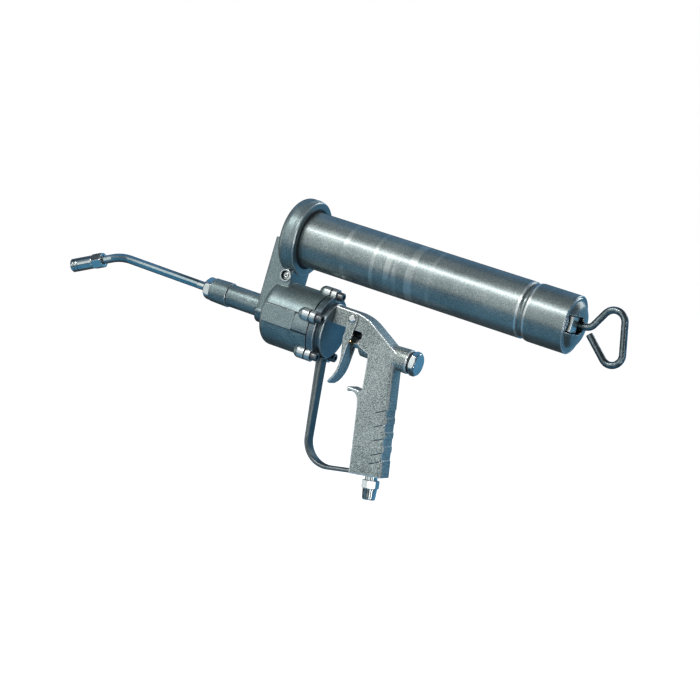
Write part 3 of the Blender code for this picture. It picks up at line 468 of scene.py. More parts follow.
def rod_latch_plate():
    plate = rod(306.0, 307.4, 24.3, ROUND)
    tongue = block(306.7, 316.4, -19.6, -4.6, -6.6, 8.6, 0.8)
    return cut(joined(plate, tongue), rod(305, 309, 4.7, SMALL))


def rod_path():
    """Follower rod, straight to the end cap and then bent to a triangular pull handle, in X and Z."""
    bends = rounded([(24, 0), (300, 0, 60), (327.9, 2.0, 9), (352.3, 44.7, 11.4), (373.8, -46.0, 10.4),
                     (328.6, -4.1)], 5)
    return [(x, 0.0, z) for x, z in bends]


def follower_cup():
    """Rubber follower with a wiping lip towards the grease."""
    return turned([(36.5, 25.2), (36.0, 26.4), (44, 25.9), (50, 25.9), (50, 3.85), (33.8, 3.85), (33.8, 14),
                   (40, 18), (43, 23.6)], FINE)


# ---- air motor

def air_piston():
    edge = CYLINDER_BORE - 0.75
    disc = turned([(PISTON_FRONT, 3.3), (PISTON_FRONT, 24), (PISTON_FRONT + 1, edge),
                   (PISTON_FRONT + 2.2, edge),
                   (PISTON_FRONT + 2.2, 24.9), (PISTON_FRONT + 5.8, 24.9), (PISTON_FRONT + 5.8, edge),
                   (PISTON_REAR, edge), (PISTON_REAR, 3.3)], FINE, z=PUMP_Z)
    return disc


def rear_cover():
    face = turned([(55.2, 0), (55.2, 27.0), (55.8, 27.8), (COVER_FRONT - 1, 27.8),
                   (COVER_FRONT - 1, CYLINDER_RADIUS),
                   (65.7, CYLINDER_RADIUS), (66.3, CYLINDER_RADIUS - 0.6), (66.3, HUB_RADIUS),
                   (COVER_REAR - 0.8, HUB_RADIUS), (COVER_REAR, HUB_RADIUS - 0.8), (COVER_REAR, 0)], FINE,
                   z=PUMP_Z)
    ears = [at_lug(a, rod(COVER_FRONT - 2, LUG_SEAT + 0.1, LUG_RADIUS, SMALL)) for a in LUG_ANGLES]
    tools = [at_lug(a, rod(50, LUG_SEAT + 4, SCREW_HOLE, TINY)) for a in LUG_ANGLES]
    tools += [at_lug(a, rod(LUG_SEAT, LUG_SEAT + 4, 5.1, SMALL)) for a in LUG_ANGLES]
    tools += [rod(50, COVER_REAR + 2, SCREW_HOLE, TINY, y, BOLT_Z) for y in (-BOLT_Y, BOLT_Y)]
    tools += [rod(50, 61.0, 4.9, SMALL, y, BOLT_Z) for y in (-BOLT_Y, BOLT_Y)]
    tools += [washer(54, COVER_FRONT, 27.6, 60, FINE, z=PUMP_Z),
              rod(50, 61.5, 8.0, 20, z=PUMP_Z),
              rod(50, COVER_REAR + 2, 2.1, TINY, z=AIR_PORT_Z),
              block(62.6, 68, -GUARD_HALF - GAP, GUARD_HALF + GAP, -116, -108.3),
              rod(58, 64, 1.6, 8, z=GUARD_PIN_Z)]
    return cut(joined(face, *ears), *tools)


def cap_screw(head, length, seat, head_height, head_radius, shank, socket, y, z, toward=1):
    """Socket cap screw along X with its head behind the seat; toward -1 turns it end for end."""
    rear = seat + toward * head_height
    tip = seat - toward * length
    body = turned([(tip, 0), (tip, shank - 0.4), (tip + toward * 0.5, shank), (seat, shank),
                   (seat, head_radius),
                   (rear - toward * 0.5, head_radius), (rear, head_radius - 0.5), (rear, 0)], head, y, z)
    ends = sorted((rear - toward * 3.2, rear + toward))
    key = prism(hexagon(socket, 0.3, y, z), *ends, "X")
    return cut(body, key)


# ---- handle

def grip_rear(z):
    """X of the grip's straight rear edge at a height."""
    return 150.0 + (-97.0 - z) * REAR_SLOPE


def at_rear(z, shape):
    """Moves a shape built at the origin to the grip's rear edge, with its X axis square to that edge."""
    lean = Matrix.Rotation(-math.atan(REAR_SLOPE), 4, "Y")
    return moved(shape, Matrix.Translation((grip_rear(z), 0, z)) @ lean)


def handle_outline():
    """Side view of the flat handle casting; its front runs on so that it can be cut square."""
    return rounded([
        (HANDLE_FRONT - 3, -54.0), (105, -54.0, 48), (139.5, -74.2, 14), (150.0, -80.0), (148.7, -90),
        (grip_rear(-201.4), -201.4, 2.2), (134.7, -207.3, 1.4),
        (122.3, -140, 12), (118.6, -129.6, 8), (111, -129.4, 2.2), (108.2, -131.6, 1.3),
        (106.7, -125.8, 1.3),
        (123.4, -126.6, 2.4), (118.8, -90), (BOSS_FRONT + 1.8, -86), (BOSS_FRONT + 1.8, BLOCK_BOTTOM, 3.5),
        (HANDLE_FRONT - 3, BLOCK_BOTTOM)], 3)


def grip_notch(index):
    """One of the four shallow finger notches across the back of the grip."""
    notch = prism(rounded([(-1.9, -4.1, 0.6), (6, -4.1), (6, 4.1), (-1.9, 4.1, 0.6)], 2), -13, 13)
    return at_rear(-139.0 - 13.8 * index, notch)


def grip_corner(side):
    """Long cutter that rounds one rear edge of the grip."""
    radius = 4.55
    middle = HANDLE_HALF - 4.53
    curve = [(a, side * b) for a, b in arc(-4.5, middle, radius, 90, 0, 4)]
    outline = [(2, side * 12.5), (-4.5, side * 12.5)] + curve + [(2, side * middle)]
    return at_rear(-97.0, prism(outline, -112, 8, "Z"))


def guard_lower_z(x, lift):
    """Height of the guard's lower stretch at x; lift 0 is its outer face."""
    return -213.4 + (x - 105.0) * GUARD_SLOPE + lift


def valve_boss():
    return turned([(BOSS_FRONT, 0), (BOSS_FRONT, 8.0), (BOSS_FRONT + 2.3, 10.3), (BOSS_REAR - 1.6, 12.35),
                   (BOSS_REAR - 0.4, 11.9), (BOSS_REAR, 10.9), (BOSS_REAR, 0)], ROUND, z=VALVE_Z)


def plain_handle():
    slab = prism(handle_outline(), -HANDLE_HALF, HANDLE_HALF, "Y", 1.2, 1)
    solid = joined(cut(slab, grip_corner(-1), grip_corner(1)), valve_boss())
    inlet_bore = moved(rod(-6, 119, 5.0, SMALL), standing(*INLET, RAKE))
    inlet_thread = moved(rod(-6, 10.5, 6.6, 18), standing(*INLET, RAKE))
    end_x = 141.4
    seat = prism([(128, guard_lower_z(128, 4.3)), (128, -214), (end_x, -214),
                  (end_x, guard_lower_z(end_x, 4.3))],
                 -GUARD_HALF - GAP, GUARD_HALF + GAP)
    screw_hole = moved(rod(-6, 9, 1.9, 8), guard_screw_place())
    return cut(solid,
               block(HANDLE_FRONT - 10, HANDLE_FRONT, -20, 20, -90, -40),
               rod(112, BOSS_REAR + 4, BOSS_BORE, ROUND, z=VALVE_Z),
               rod(98, 113, 4.6, SMALL, z=VALVE_Z),
               moved(rod(VALVE_Z + 2, AIR_PORT_Z + 0.9, 2.1, TINY), standing(113.4, 0)),
               rod(HANDLE_FRONT - 4, 114.6, 2.1, TINY, z=AIR_PORT_Z),
               moved(rod(-15, 15, 2.8, SMALL), across(*PIVOT)),
               rod(HANDLE_FRONT - 4, 87.5, SCREW_HOLE, TINY, -BOLT_Y, BOLT_Z),
               rod(HANDLE_FRONT - 4, 87.5, SCREW_HOLE, TINY, BOLT_Y, BOLT_Z),
               rod(98, 113.2, SCREW_HOLE, TINY, z=STOP_Z),
               rod(98, BOSS_FRONT + 2.3, 4.3, SMALL, z=STOP_Z),
               inlet_bore, inlet_thread, seat, screw_hole,
               *[grip_notch(i) for i in range(4)])


def stop_screw():
    """Shoulder screw whose head stops the trigger."""
    wall = BOSS_FRONT + 1.8
    body = turned([(wall - 13.4, 0), (wall - 13.4, 3.5), (wall - 12.9, 4.0), (wall - 6.4, 4.0),
                   (wall - 6.4, 3.4),
                   (wall - GAP, 3.4), (wall - GAP, 2.5), (112.6, 2.5), (112.6, 0)], 12, z=STOP_Z)
    return cut(body, prism(hexagon(3.2, 0.3, 0, STOP_Z), wall - 15, wall - 10.6, "X"))


def valve_gland():
    body = joined(hex_piece(97.4, BOSS_FRONT - GAP, 8.4, 4.8, 0.5, z=VALVE_Z),
                  rod(BOSS_FRONT - 1, 111.6, 4.1, SMALL, z=VALVE_Z))
    return cut(body, rod(90, 115, 2.7, SMALL, z=VALVE_Z))


def valve_stem():
    """Brass stem pushed rearward by the trigger, with the poppet that it lifts off the seat."""
    return turned([(90.6, 0), (90.6, 1.7), (91.1, 2.3), (120.3, 2.3), (120.3, 6.0), (123.6, 6.0),
                   (123.6, 3.0), (127, 3.0), (127, 0)], 16, z=VALVE_Z)


def rear_plug():
    face = turned([(168, 0), (168, 11.2), (169.3, 11.2), (170.0, 10.6), (170.0, 0)], ROUND, z=VALVE_Z)
    return joined(rod(157.5, 164.5, 7.7, 20, z=VALVE_Z),
                  hex_piece(163.4, 169.0, 22.4, 12.3, 0.9, z=VALVE_Z, turn=0.35), face)


def air_inlet():
    """Hexagon bush screwed up into the grip, with a tapered hose stub below it."""
    body = joined(hex_piece(-11.0, -2.9, 15.4, 8.6, 0.7),
                  rod(-3.5, 6.5, 6.2, 18),
                  turned([(-22.4, 0), (-22.4, 5.9), (-21.6, 6.6), (-10.5, 7.5), (-10.5, 0)], 20))
    body = cut(body, rod(-24, 8, 4.0, SMALL))
    return moved(body, standing(*INLET, RAKE))


# ---- trigger and guard

def trigger_arms():
    """Block from which the two pivot ears are cut."""
    pivot_x, pivot_z = PIVOT
    outline = rounded([(89.2, -81.2), (pivot_x - 5.2, pivot_z + 5.2, 4.8),
                       (pivot_x + 5.2, pivot_z + 5.2, 4.8),
                       (pivot_x + 5.0, -66), (97.0, -81.2, 1.0)], 4)
    return prism(outline, -EAR_OUTER, EAR_OUTER, "Y", 0.35, 1)


def blade_curve(offset):
    """Side-view line of the finger plate from top to tip, offset rearward."""
    centre_x, centre_z, radius = 55.09, -105.4, 36 + offset
    tip = (83.0 + 0.873 * offset, -129.2 - 0.488 * offset)
    top = (86.8 + 0.982 * offset, -79.6 + 0.188 * offset)
    return [top] + arc(centre_x, centre_z, radius, 10.8, -29.2, 6) + [tip]


def trigger_blade():
    """Finger plate with side flanges that die out above its rounded tip."""
    rear = [point for point in reversed(blade_curve(2.2)) if point[1] < -116.3]
    outline = blade_curve(0) + rear + [(92.7, -111.5), (94.6, -86), (94.6, -79.6)]
    half = BLADE_HALF + 0.5
    limit = rounded([(-half, -70), (-half, -130.7, 8.5), (half, -130.7, 8.5), (half, -70)], 4)
    plate = prism(outline, -BLADE_HALF, BLADE_HALF, "Y", 0.4, 1)
    return boolean(plate, [prism(limit, 75, 105, "X")], "INTERSECT")


def trigger():
    """Curved finger plate under two pivot ears."""
    front = blade_curve(2.0)
    channel = prism([(88.2, -76.5)] + front[1:-1] + [(82.8, -133.7), (104, -133.7), (104, -76.5)],
                    -BLADE_HALF + 1.7, BLADE_HALF - 1.7)
    between = prism([(80, -50), (80, -72.6), (91.2, -72.6), (91.2, -79), (110, -79), (110, -50)],
                    -EAR_INNER, EAR_INNER)
    return cut(joined(trigger_arms(), trigger_blade()), between, channel,
               moved(rod(-20, 20, 2.85, SMALL), across(*PIVOT)))


def trigger_pin():
    body = turned([(-15.6, 0), (-15.6, 3.0), (-14.9, 4.0), (-13.5, 4.2), (-13.5, 2.5), (15.6, 2.5),
                   (16.0, 2.1),
                   (16.0, 0)], 18)
    return moved(body, across(*PIVOT))


def pin_clip():
    return moved(washer(13.6, 14.6, 2.8, 5.0, 18), across(*PIVOT))


def guard_outline():
    return rounded([(62.9, -108.7), (79.8, -218.6, 28), (141.0, guard_lower_z(141, 0)),
                    (141.0, guard_lower_z(141, 4.0)), (82.6, guard_lower_z(82.6, 4.0), 24),
                    (69.6, -108.7)], 6)


def guard_screw_place():
    return standing(137.0, guard_lower_z(137.0, 0), -math.atan(GUARD_SLOPE))


def trigger_guard():
    solid = prism(guard_outline(), -GUARD_HALF, GUARD_HALF, "Y", 1.8, 2)
    return cut(solid, rod(60, 72, 1.6, 8, z=GUARD_PIN_Z),
               moved(rod(-3, 8, 1.9, 8), guard_screw_place()),
               moved(rod(-3, 1.9, 3.2, SMALL), guard_screw_place()))


def guard_screw():
    body = turned([(-0.1, 0), (-0.1, 2.9), (1.5, 2.9), (1.5, 1.45), (8.6, 1.45), (8.6, 0)], TINY)
    slot = block(-1, 0.6, -3.5, 3.5, -0.4, 0.4)
    return moved(cut(body, slot), guard_screw_place())


# ---- delivery line

def outlet_valve_body():
    """Collar on the nose that holds the outlet check valve, with the nipple for the pipe nut."""
    return turned([(-52.0, 8.95), (-52.0, 12.3), (-52.5, 12.8), (COLLAR_FRONT + 0.5, 12.2),
                   (COLLAR_FRONT, 11.7),
                   (COLLAR_FRONT, 7.0), (-80.0, 7.0), (-80.0, 2.4), (-70.5, 2.4), (-70.5, 3.9),
                   (-62.4, 3.9),
                   (-62.4, 8.95)], ROUND, z=PUMP_Z)


def outlet_nut():
    outer = turned([(NUT_FRONT, 0), (NUT_FRONT, 5.4), (NUT_FRONT + 2.2, 9.4), (NUT_FRONT + 4.4, 11.6),
                    (COLLAR_FRONT - 0.6, 11.9), (COLLAR_FRONT - GAP, 11.5), (COLLAR_FRONT - GAP, 0)],
                   ROUND, z=PUMP_Z)
    bar = prism(hexagon(21.4, math.pi / 6 + 0.1, 0, PUMP_Z), NUT_FRONT - 1, COLLAR_FRONT + 1, "X")
    body = boolean(outer, [bar], "INTERSECT")
    return cut(body, rod(NUT_FRONT - 2, COLLAR_FRONT + 3, 4.9, 20, z=PUMP_Z),
               rod(-80.6, COLLAR_FRONT + 3, 7.35, ROUND, z=PUMP_Z))


def pipe_fitting():
    """Plated stub that the nut clamps against the nipple, with the pipe brazed on its front."""
    return turned([(PIPE_START + GAP, PIPE_BORE), (PIPE_START + GAP, 4.55), (-82.0, 4.55), (-80.9, 4.55),
                   (-80.3, 4.55), (-80.3, PIPE_BORE)], 20, z=PUMP_Z)


def delivery_pipe():
    """Straight run, one bend down, and a short straight into the coupler."""
    bend = COUPLER_ANGLE
    points = [(PIPE_START, PUMP_Z)]
    points += arc(BEND_X, BEND_Z - BEND_RADIUS, BEND_RADIUS, 90, 90 + math.degrees(bend), 4)
    nose_x, nose_z = COUPLER_NOSE
    reach = COUPLER_LENGTH - 8.2
    points.append((nose_x + reach * math.cos(bend), nose_z + reach * math.sin(bend)))
    return swept([(x, 0.0, z) for x, z in points], PIPE_RADIUS, 12, PIPE_BORE)


def coupler_place():
    """Frame of the coupler: X runs from its nose towards the pipe."""
    x, z = COUPLER_NOSE
    return Matrix.Translation((x, 0, z)) @ Matrix.Rotation(-COUPLER_ANGLE, 4, "Y")


def coupler_sleeve():
    groove = 0.35
    profile = [(0, 4.95), (0, 6.6), (0.6, SLEEVE_RADIUS)]
    for x in (3.4, 7.4):
        profile += [(x, SLEEVE_RADIUS), (x + 0.3, SLEEVE_RADIUS - groove),
                    (x + 0.9, SLEEVE_RADIUS - groove),
                    (x + 1.2, SLEEVE_RADIUS)]
    profile += [(SLEEVE_LENGTH - 0.5, SLEEVE_RADIUS), (SLEEVE_LENGTH, SLEEVE_RADIUS - 0.5),
                (SLEEVE_LENGTH, 6.15),
                (14.5, 6.15), (14.0, 4.95 + 14.0 * JAW_TAPER)]
    return moved(turned(profile, 16), coupler_place())


def coupler_body():
    collar = hex_piece(SLEEVE_LENGTH + 0.4, COUPLER_LENGTH, 14.8, 8.2, 1.0)
    stub = rod(17.0, SLEEVE_LENGTH + 1, 5.8, 20)
    body = cut(joined(collar, stub), rod(15, 25.0, 4.6, 18), rod(24, 32, 1.8, TINY),
               rod(COUPLER_LENGTH - 8.5, COUPLER_LENGTH + 2, 4.85, 20))
    return moved(body, coupler_place())


def coupler_jaw(index):
    """Quarter of a tapered collet that grips the grease nipple."""
    spread = math.radians(38)
    middle = math.pi / 2 * (index + 0.5)
    shape = bmesh.new()
    rows = []
    for x, inner, outer in ((0.6, 3.2, 4.6 + 0.6 * JAW_TAPER), (1.8, 2.7, 4.6 + 1.8 * JAW_TAPER),
                            (10.4, 2.7, 4.6 + 10.4 * JAW_TAPER)):
        angles = [middle - spread + 2 * spread * k / 4 for k in range(5)]
        ring = [(outer, a) for a in angles] + [(inner, a) for a in reversed(angles)]
        rows.append([shape.verts.new(Vector((x, r * math.cos(a), r * math.sin(a))) * MM) for r, a in ring])
    count = len(rows[0])
    for one, two in zip(rows, rows[1:]):
        for k in range(count):
            shape.faces.new((one[k], one[(k + 1) % count], two[(k + 1) % count], two[k]))
    half = count // 2
    for row in (rows[0], rows[-1]):
        for k in range(half - 1):
            shape.faces.new((row[k], row[k + 1], row[count - 2 - k], row[count - 1 - k]))
    return moved(finished(shape), coupler_place())


def coupler_seal():
    return moved(turned([(10.8, 1.2), (10.8, 3.4), (11.6, 4.2), (16.0, 4.2), (16.0, 1.2)], 16),
                 coupler_place())


# ---- materials

def nodes_of(paint):
    """Short ways to add a node, link two sockets and set values."""
    tree = paint.node_tree

    def add(kind, **values):
        node = tree.nodes.new("ShaderNode" + kind)
        for key, value in values.items():
            if key[0].isupper():
                node.inputs[key.replace("_", " ")].default_value = value
            else:
                setattr(node, key, value)
        return node

    return tree, add, tree.links.new


BUMP_DEPTH = 0.00006
EDGE_ROUGHNESS = 0.2
# Painted shade: near-black colour laid into narrow grooves
GROOVE_SHADE = (0.008, 0.012, 0.016)
TAPE_COLOUR = (0.62, 0.66, 0.65)
TAPE_BANDS = ((0.0705, 0.0021), (0.1035, 0.0017), (0.1205, 0.0030), (0.1290, 0.0022), (0.1450, 0.0038),
              (0.1665, 0.0014))   # middle and half width along X, in metres


def ramp_of(add, stops):
    ramp = add("ValToRGB")
    elements = ramp.color_ramp.elements
    elements[0].position = stops[0][0]
    elements[0].color = (*stops[0][1], 1)
    elements[1].position = stops[-1][0]
    elements[1].color = (*stops[-1][1], 1)
    for place, colour in stops[1:-1]:
        elements.new(place).color = (*colour, 1)
    return ramp


def ranged(add, link, source, start, end, low, high):
    """Socket that goes from low to high while the source goes from start to end."""
    node = add("MapRange", From_Min=start, From_Max=end, To_Min=low, To_Max=high)
    link(source, node.inputs["Value"])
    return node.outputs["Result"]


def product(add, link, source, factor):
    """Socket for a source times a number or another socket, held between 0 and 1."""
    node = add("Math", operation="MULTIPLY", use_clamp=True)
    link(source, node.inputs[0])
    if isinstance(factor, float):
        node.inputs[1].default_value = factor
    else:
        link(factor, node.inputs[1])
    return node.outputs["Value"]


def blended(add, link, factor, base, colour):
    """Colour socket that turns from the base into one fixed colour as the factor rises."""
    mix = add("Mix", data_type="RGBA")
    mix.inputs["B"].default_value = (*colour, 1)
    link(factor, mix.inputs["Factor"])
    link(base, mix.inputs["A"])
    return mix.outputs["Result"]


def larger(add, link, first, second, clamp=False):
    """Socket for the larger of two sockets."""
    node = add("Math", operation="MAXIMUM", use_clamp=clamp)
    link(first, node.inputs[0])
    link(second, node.inputs[1])
    return node.outputs["Value"]


def surface(name, dark, mid, light, metallic, rough, grain=900.0, flecks=0.5, bump=0.25, edge=0.0,
            edge_radius=0.0009, edge_colour=(0.92, 0.95, 0.95), coat=0.0, coat_rough=0.15, blotch=0.35,
            bands=False):
    """Metal or rubber finish: flecks, slow tone changes, roughness and bump to match, bright edges that are
    partly rubbed wear and partly painted highlight, and painted shade in grooves.
    """
    paint = bpy.data.materials.new(name)
    paint.use_nodes = True
    tree, add, link = nodes_of(paint)
    shader = tree.nodes["Principled BSDF"]
    shader.inputs["Metallic"].default_value = metallic
    shader.inputs["Coat Weight"].default_value = coat
    shader.inputs["Coat Roughness"].default_value = coat_rough
    place = add("TexCoord")
    fine = add("TexNoise", Scale=grain, Detail=3.0, Roughness=0.62)
    slow = add("TexNoise", Scale=26.0, Detail=4.0, Roughness=0.6)
    specks = add("TexVoronoi", Scale=grain * 0.8)
    for node in (fine, slow, specks):
        link(place.outputs["Object"], node.inputs["Vector"])
    mixed = add("Mix", data_type="FLOAT", Factor=flecks)
    link(slow.outputs["Fac"], mixed.inputs["A"])
    link(fine.outputs["Fac"], mixed.inputs["B"])
    ramp = ramp_of(add, [(0.5 - 0.5 * blotch, dark), (0.5, mid), (0.5 + 0.5 * blotch, light)])
    link(mixed.outputs["Result"], ramp.inputs["Fac"])
    colour = ramp.outputs["Color"]
    if bands:
        colour = banded(add, link, place, colour)
    roughness = ranged(add, link, mixed.outputs["Result"], 0.3, 0.7, *rough)
    raised = add("Bump", Strength=bump, Distance=BUMP_DEPTH)
    if edge:
        # Bright edges: partly rubbed wear, partly painted highlight. The bevel normal finds the rounded
        # edges.
        rounding = add("Bevel", samples=4, Radius=edge_radius)
        flat = add("NewGeometry")
        match = add("VectorMath", operation="DOT_PRODUCT")
        link(rounding.outputs["Normal"], match.inputs[0])
        link(flat.outputs["Normal"], match.inputs[1])
        wear_and_sheen = ranged(add, link, match.outputs["Value"], 0.993, 0.92, 0.0, edge)
        spread = ranged(add, link, slow.outputs["Fac"], 0.35, 0.6, 0.35, 1.0)
        marked = add("Attribute", attribute_name="wear_sheen_and_groove_shade").outputs["Fac"]
        bright = larger(add, link, product(add, link, wear_and_sheen, spread), product(add, link, marked, edge), True)
        # Painted highlight and wear: rounded edges turn towards the edge colour
        colour = blended(add, link, bright, colour, edge_colour)
        # Painted shade: grooves flagged -1 turn towards the dark groove colour
        colour = blended(add, link, product(add, link, marked, -0.9), colour, GROOVE_SHADE)
        polished = add("Mix", data_type="FLOAT")
        polished.inputs["B"].default_value = EDGE_ROUGHNESS
        link(bright, polished.inputs["Factor"])
        link(roughness, polished.inputs["A"])
        roughness = polished.outputs["Result"]
        link(rounding.outputs["Normal"], raised.inputs["Normal"])
    link(colour, shader.inputs["Base Color"])
    link(roughness, shader.inputs["Roughness"])
    relief = add("Mix", data_type="FLOAT", Factor=0.45)
    link(fine.outputs["Fac"], relief.inputs["A"])
    link(specks.outputs["Distance"], relief.inputs["B"])
    link(relief.outputs["Result"], raised.inputs["Height"])
    link(raised.outputs["Normal"], shader.inputs["Normal"])
    return paint


def banded(add, link, place, colour):
    """Faint lighter bands round the barrel, where old adhesive tape has been taken off the paint."""
    parts = add("SeparateXYZ")
    link(place.outputs["Object"], parts.inputs["Vector"])
    total = None
    for middle, half in TAPE_BANDS:
        away = add("Math", operation="SUBTRACT")
        away.inputs[1].default_value = middle
        link(parts.outputs["X"], away.inputs[0])
        size = add("Math", operation="ABSOLUTE")
        link(away.outputs["Value"], size.inputs[0])
        inside = ranged(add, link, size.outputs["Value"], half + 0.0004, half, 0.0, 1.0)
        total = inside if total is None else larger(add, link, total, inside)
    patch = add("TexNoise", Scale=45.0, Detail=3.0)
    link(place.outputs["Object"], patch.inputs["Vector"])
    torn = ranged(add, link, patch.outputs["Fac"], 0.42, 0.58, 0.05, 0.42)
    amount = add("Math", operation="MULTIPLY")
    link(total, amount.inputs[0])
    link(torn, amount.inputs[1])
    return blended(add, link, amount.outputs["Value"], colour, TAPE_COLOUR)


def make_paints():
    return {
        "cast_aluminium": surface(
            "cast_metal", (0.075, 0.105, 0.115), (0.20, 0.26, 0.27), (0.44, 0.52, 0.53), 0.72, (0.30, 0.50),
            grain=1100, flecks=0.75, bump=0.35, edge=0.45, edge_radius=0.0009),
        "handle_casting": surface(
            "handle_metal", (0.07, 0.09, 0.09), (0.285, 0.328, 0.32), (0.70, 0.75, 0.73), 0.62,
            (0.34, 0.54), grain=1250, flecks=0.85, bump=0.5, edge=0.9, edge_radius=0.0010, blotch=0.22),
        "hammertone_paint": surface(
            "hammertone", (0.11, 0.14, 0.145), (0.22, 0.262, 0.265), (0.42, 0.47, 0.465), 0.75,
            (0.28, 0.46), grain=1000, flecks=0.7, bump=0.3, edge=0.5, coat=0.25, coat_rough=0.14,
            bands=True),
        "chrome": surface(
            "bright_chrome", (0.38, 0.42, 0.43), (0.52, 0.565, 0.575), (0.68, 0.72, 0.73), 1.0,
            (0.07, 0.20), grain=300, flecks=0.3, bump=0.06, edge=0.4, edge_colour=(0.95, 0.96, 0.96)),
        "plated_steel": surface(
            "zinc_steel", (0.42, 0.44, 0.44), (0.60, 0.62, 0.61), (0.76, 0.77, 0.75), 1.0, (0.2, 0.36),
            grain=500, flecks=0.4, bump=0.12, edge=0.4),
        "dark_wire": surface(
            "blued_wire", (0.05, 0.065, 0.075), (0.135, 0.175, 0.19), (0.34, 0.40, 0.42), 0.85, (0.2, 0.34),
            grain=420, flecks=0.45, bump=0.2, coat=0.2),
        "black_oxide": surface(
            "oxide_black", (0.006, 0.007, 0.009), (0.014, 0.016, 0.02), (0.04, 0.045, 0.05), 0.55,
            (0.22, 0.4), grain=700, flecks=0.5, bump=0.15, edge=0.35, edge_radius=0.0003,
            edge_colour=(0.35, 0.38, 0.40)),
        "brass": surface(
            "yellow_brass", (0.42, 0.22, 0.10), (0.66, 0.38, 0.19), (0.84, 0.55, 0.30), 1.0, (0.18, 0.34),
            grain=500, flecks=0.4, bump=0.12, edge=0.3, edge_colour=(0.95, 0.72, 0.45)),
        "guard": surface(
            "guard_metal", (0.03, 0.04, 0.045), (0.085, 0.105, 0.11), (0.20, 0.24, 0.25), 0.75,
            (0.26, 0.44), grain=1000, flecks=0.7, bump=0.3, edge=0.16, edge_radius=0.0007),
        "pipe": surface(
            "worn_chrome", (0.24, 0.31, 0.33), (0.36, 0.45, 0.48), (0.52, 0.60, 0.62), 1.0, (0.12, 0.28),
            grain=380, flecks=0.4, bump=0.1),
        "cover": surface(
            "cover_metal", (0.06, 0.085, 0.10), (0.15, 0.20, 0.225), (0.34, 0.42, 0.45), 0.75, (0.28, 0.46),
            grain=1100, flecks=0.7, bump=0.35, edge=0.45, edge_radius=0.0009),
        "rubber": surface(
            "black_rubber", (0.008, 0.009, 0.012), (0.016, 0.018, 0.022), (0.035, 0.038, 0.045), 0.0,
            (0.5, 0.75), grain=800, flecks=0.5, bump=0.25),
        "spring_steel": surface(
            "spring_wire", (0.25, 0.26, 0.27), (0.42, 0.43, 0.44), (0.6, 0.61, 0.61), 1.0, (0.22, 0.4),
            grain=600, flecks=0.4, bump=0.12),
    }


# ---- pieces

RECORD = frame["record"]
NARROW = 1.0  # widest face that counts as part of a rounded edge or a groove
SHARP_TURN = math.radians(12)  # mean turn across its edges that such a face needs
BODY_OF = {node: body for body, members in RECORD["behaviour"]["bodies"].items() for node in members}
SLOT_OF = {row["node"]: row["material_slot"] for row in RECORD["subparts"]}
DARKER = {"trigger_guard": "guard", "rear_cover": "cover", "delivery_pipe": "pipe"}  # duller than the slot


def mark_wear(shape):
    """Face attribute for narrow faces: 1 on rounded edges, painted bright as rubbed wear and painted
    highlight, and -1 in grooves, painted dark as painted shade.
    """
    wear_sheen_and_groove_shade = shape.faces.layers.float.new("wear_sheen_and_groove_shade")
    shape.normal_update()
    for face in shape.faces:
        if 2 * face.calc_area() / face.calc_perimeter() > NARROW * MM:
            continue
        turn = sum(edge.calc_face_angle_signed(0.0) * edge.calc_length() for edge in face.edges)
        turn /= face.calc_perimeter()
        if abs(turn) > SHARP_TURN:
            face[wear_sheen_and_groove_shade] = math.copysign(1.0, turn)


def piece(node, shape, paints):
    """Finer piece that stands for a CAD node, on that node's body and in its finish."""
    mark_wear(shape)
    mesh = bpy.data.meshes.new(node + "_fine")
    shape.to_mesh(mesh)
    shape.free()
    mesh.shade_smooth()
    mesh.set_sharp_from_angle(angle=math.radians(30))
    mesh.materials.append(paints[DARKER.get(node, SLOT_OF[node])])
    item = bpy.data.objects.new(node + "_fine", mesh)
    bpy.context.scene.collection.objects.link(item)
    even = item.modifiers.new("even", "WEIGHTED_NORMAL")
    even.keep_sharp = True
    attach(item, BODY_OF[node])
    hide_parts(node)
    return item


def spring_piece(node, shape, paints):
    """Coil spring piece, kept without the smoothing modifier and with a mesh of its own."""
    item = piece(node, shape, paints)
    item.modifiers.clear()
    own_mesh(item)


def screw_at(degrees):
    head = cap_screw(40, 17.2, LUG_SEAT + GAP, 6.2, 4.5, 2.5, 4.2, 0, LUG_CIRCLE)
    centre = Matrix.Translation((0, 0, PUMP_Z))
    return moved(head, centre @ Matrix.Rotation(math.radians(degrees), 4, "X"))


def handle():
    """Plain handle with the shallow cast lines that run forward from the finger notches."""
    lines = []
    for drop in (0, 13.8, 27.6, 41.4, 49.6):
        for side in (-1, 1):
            line = block(-14.5, 3, side * HANDLE_HALF - 0.7, side * HANDLE_HALF + 0.7, -0.4, 0.4)
            tilt = Matrix.Rotation(math.radians(-17), 4, "Y")
            lines.append(at_rear(-134.9 - drop, moved(line, tilt)))
    return cut(plain_handle(), *lines)


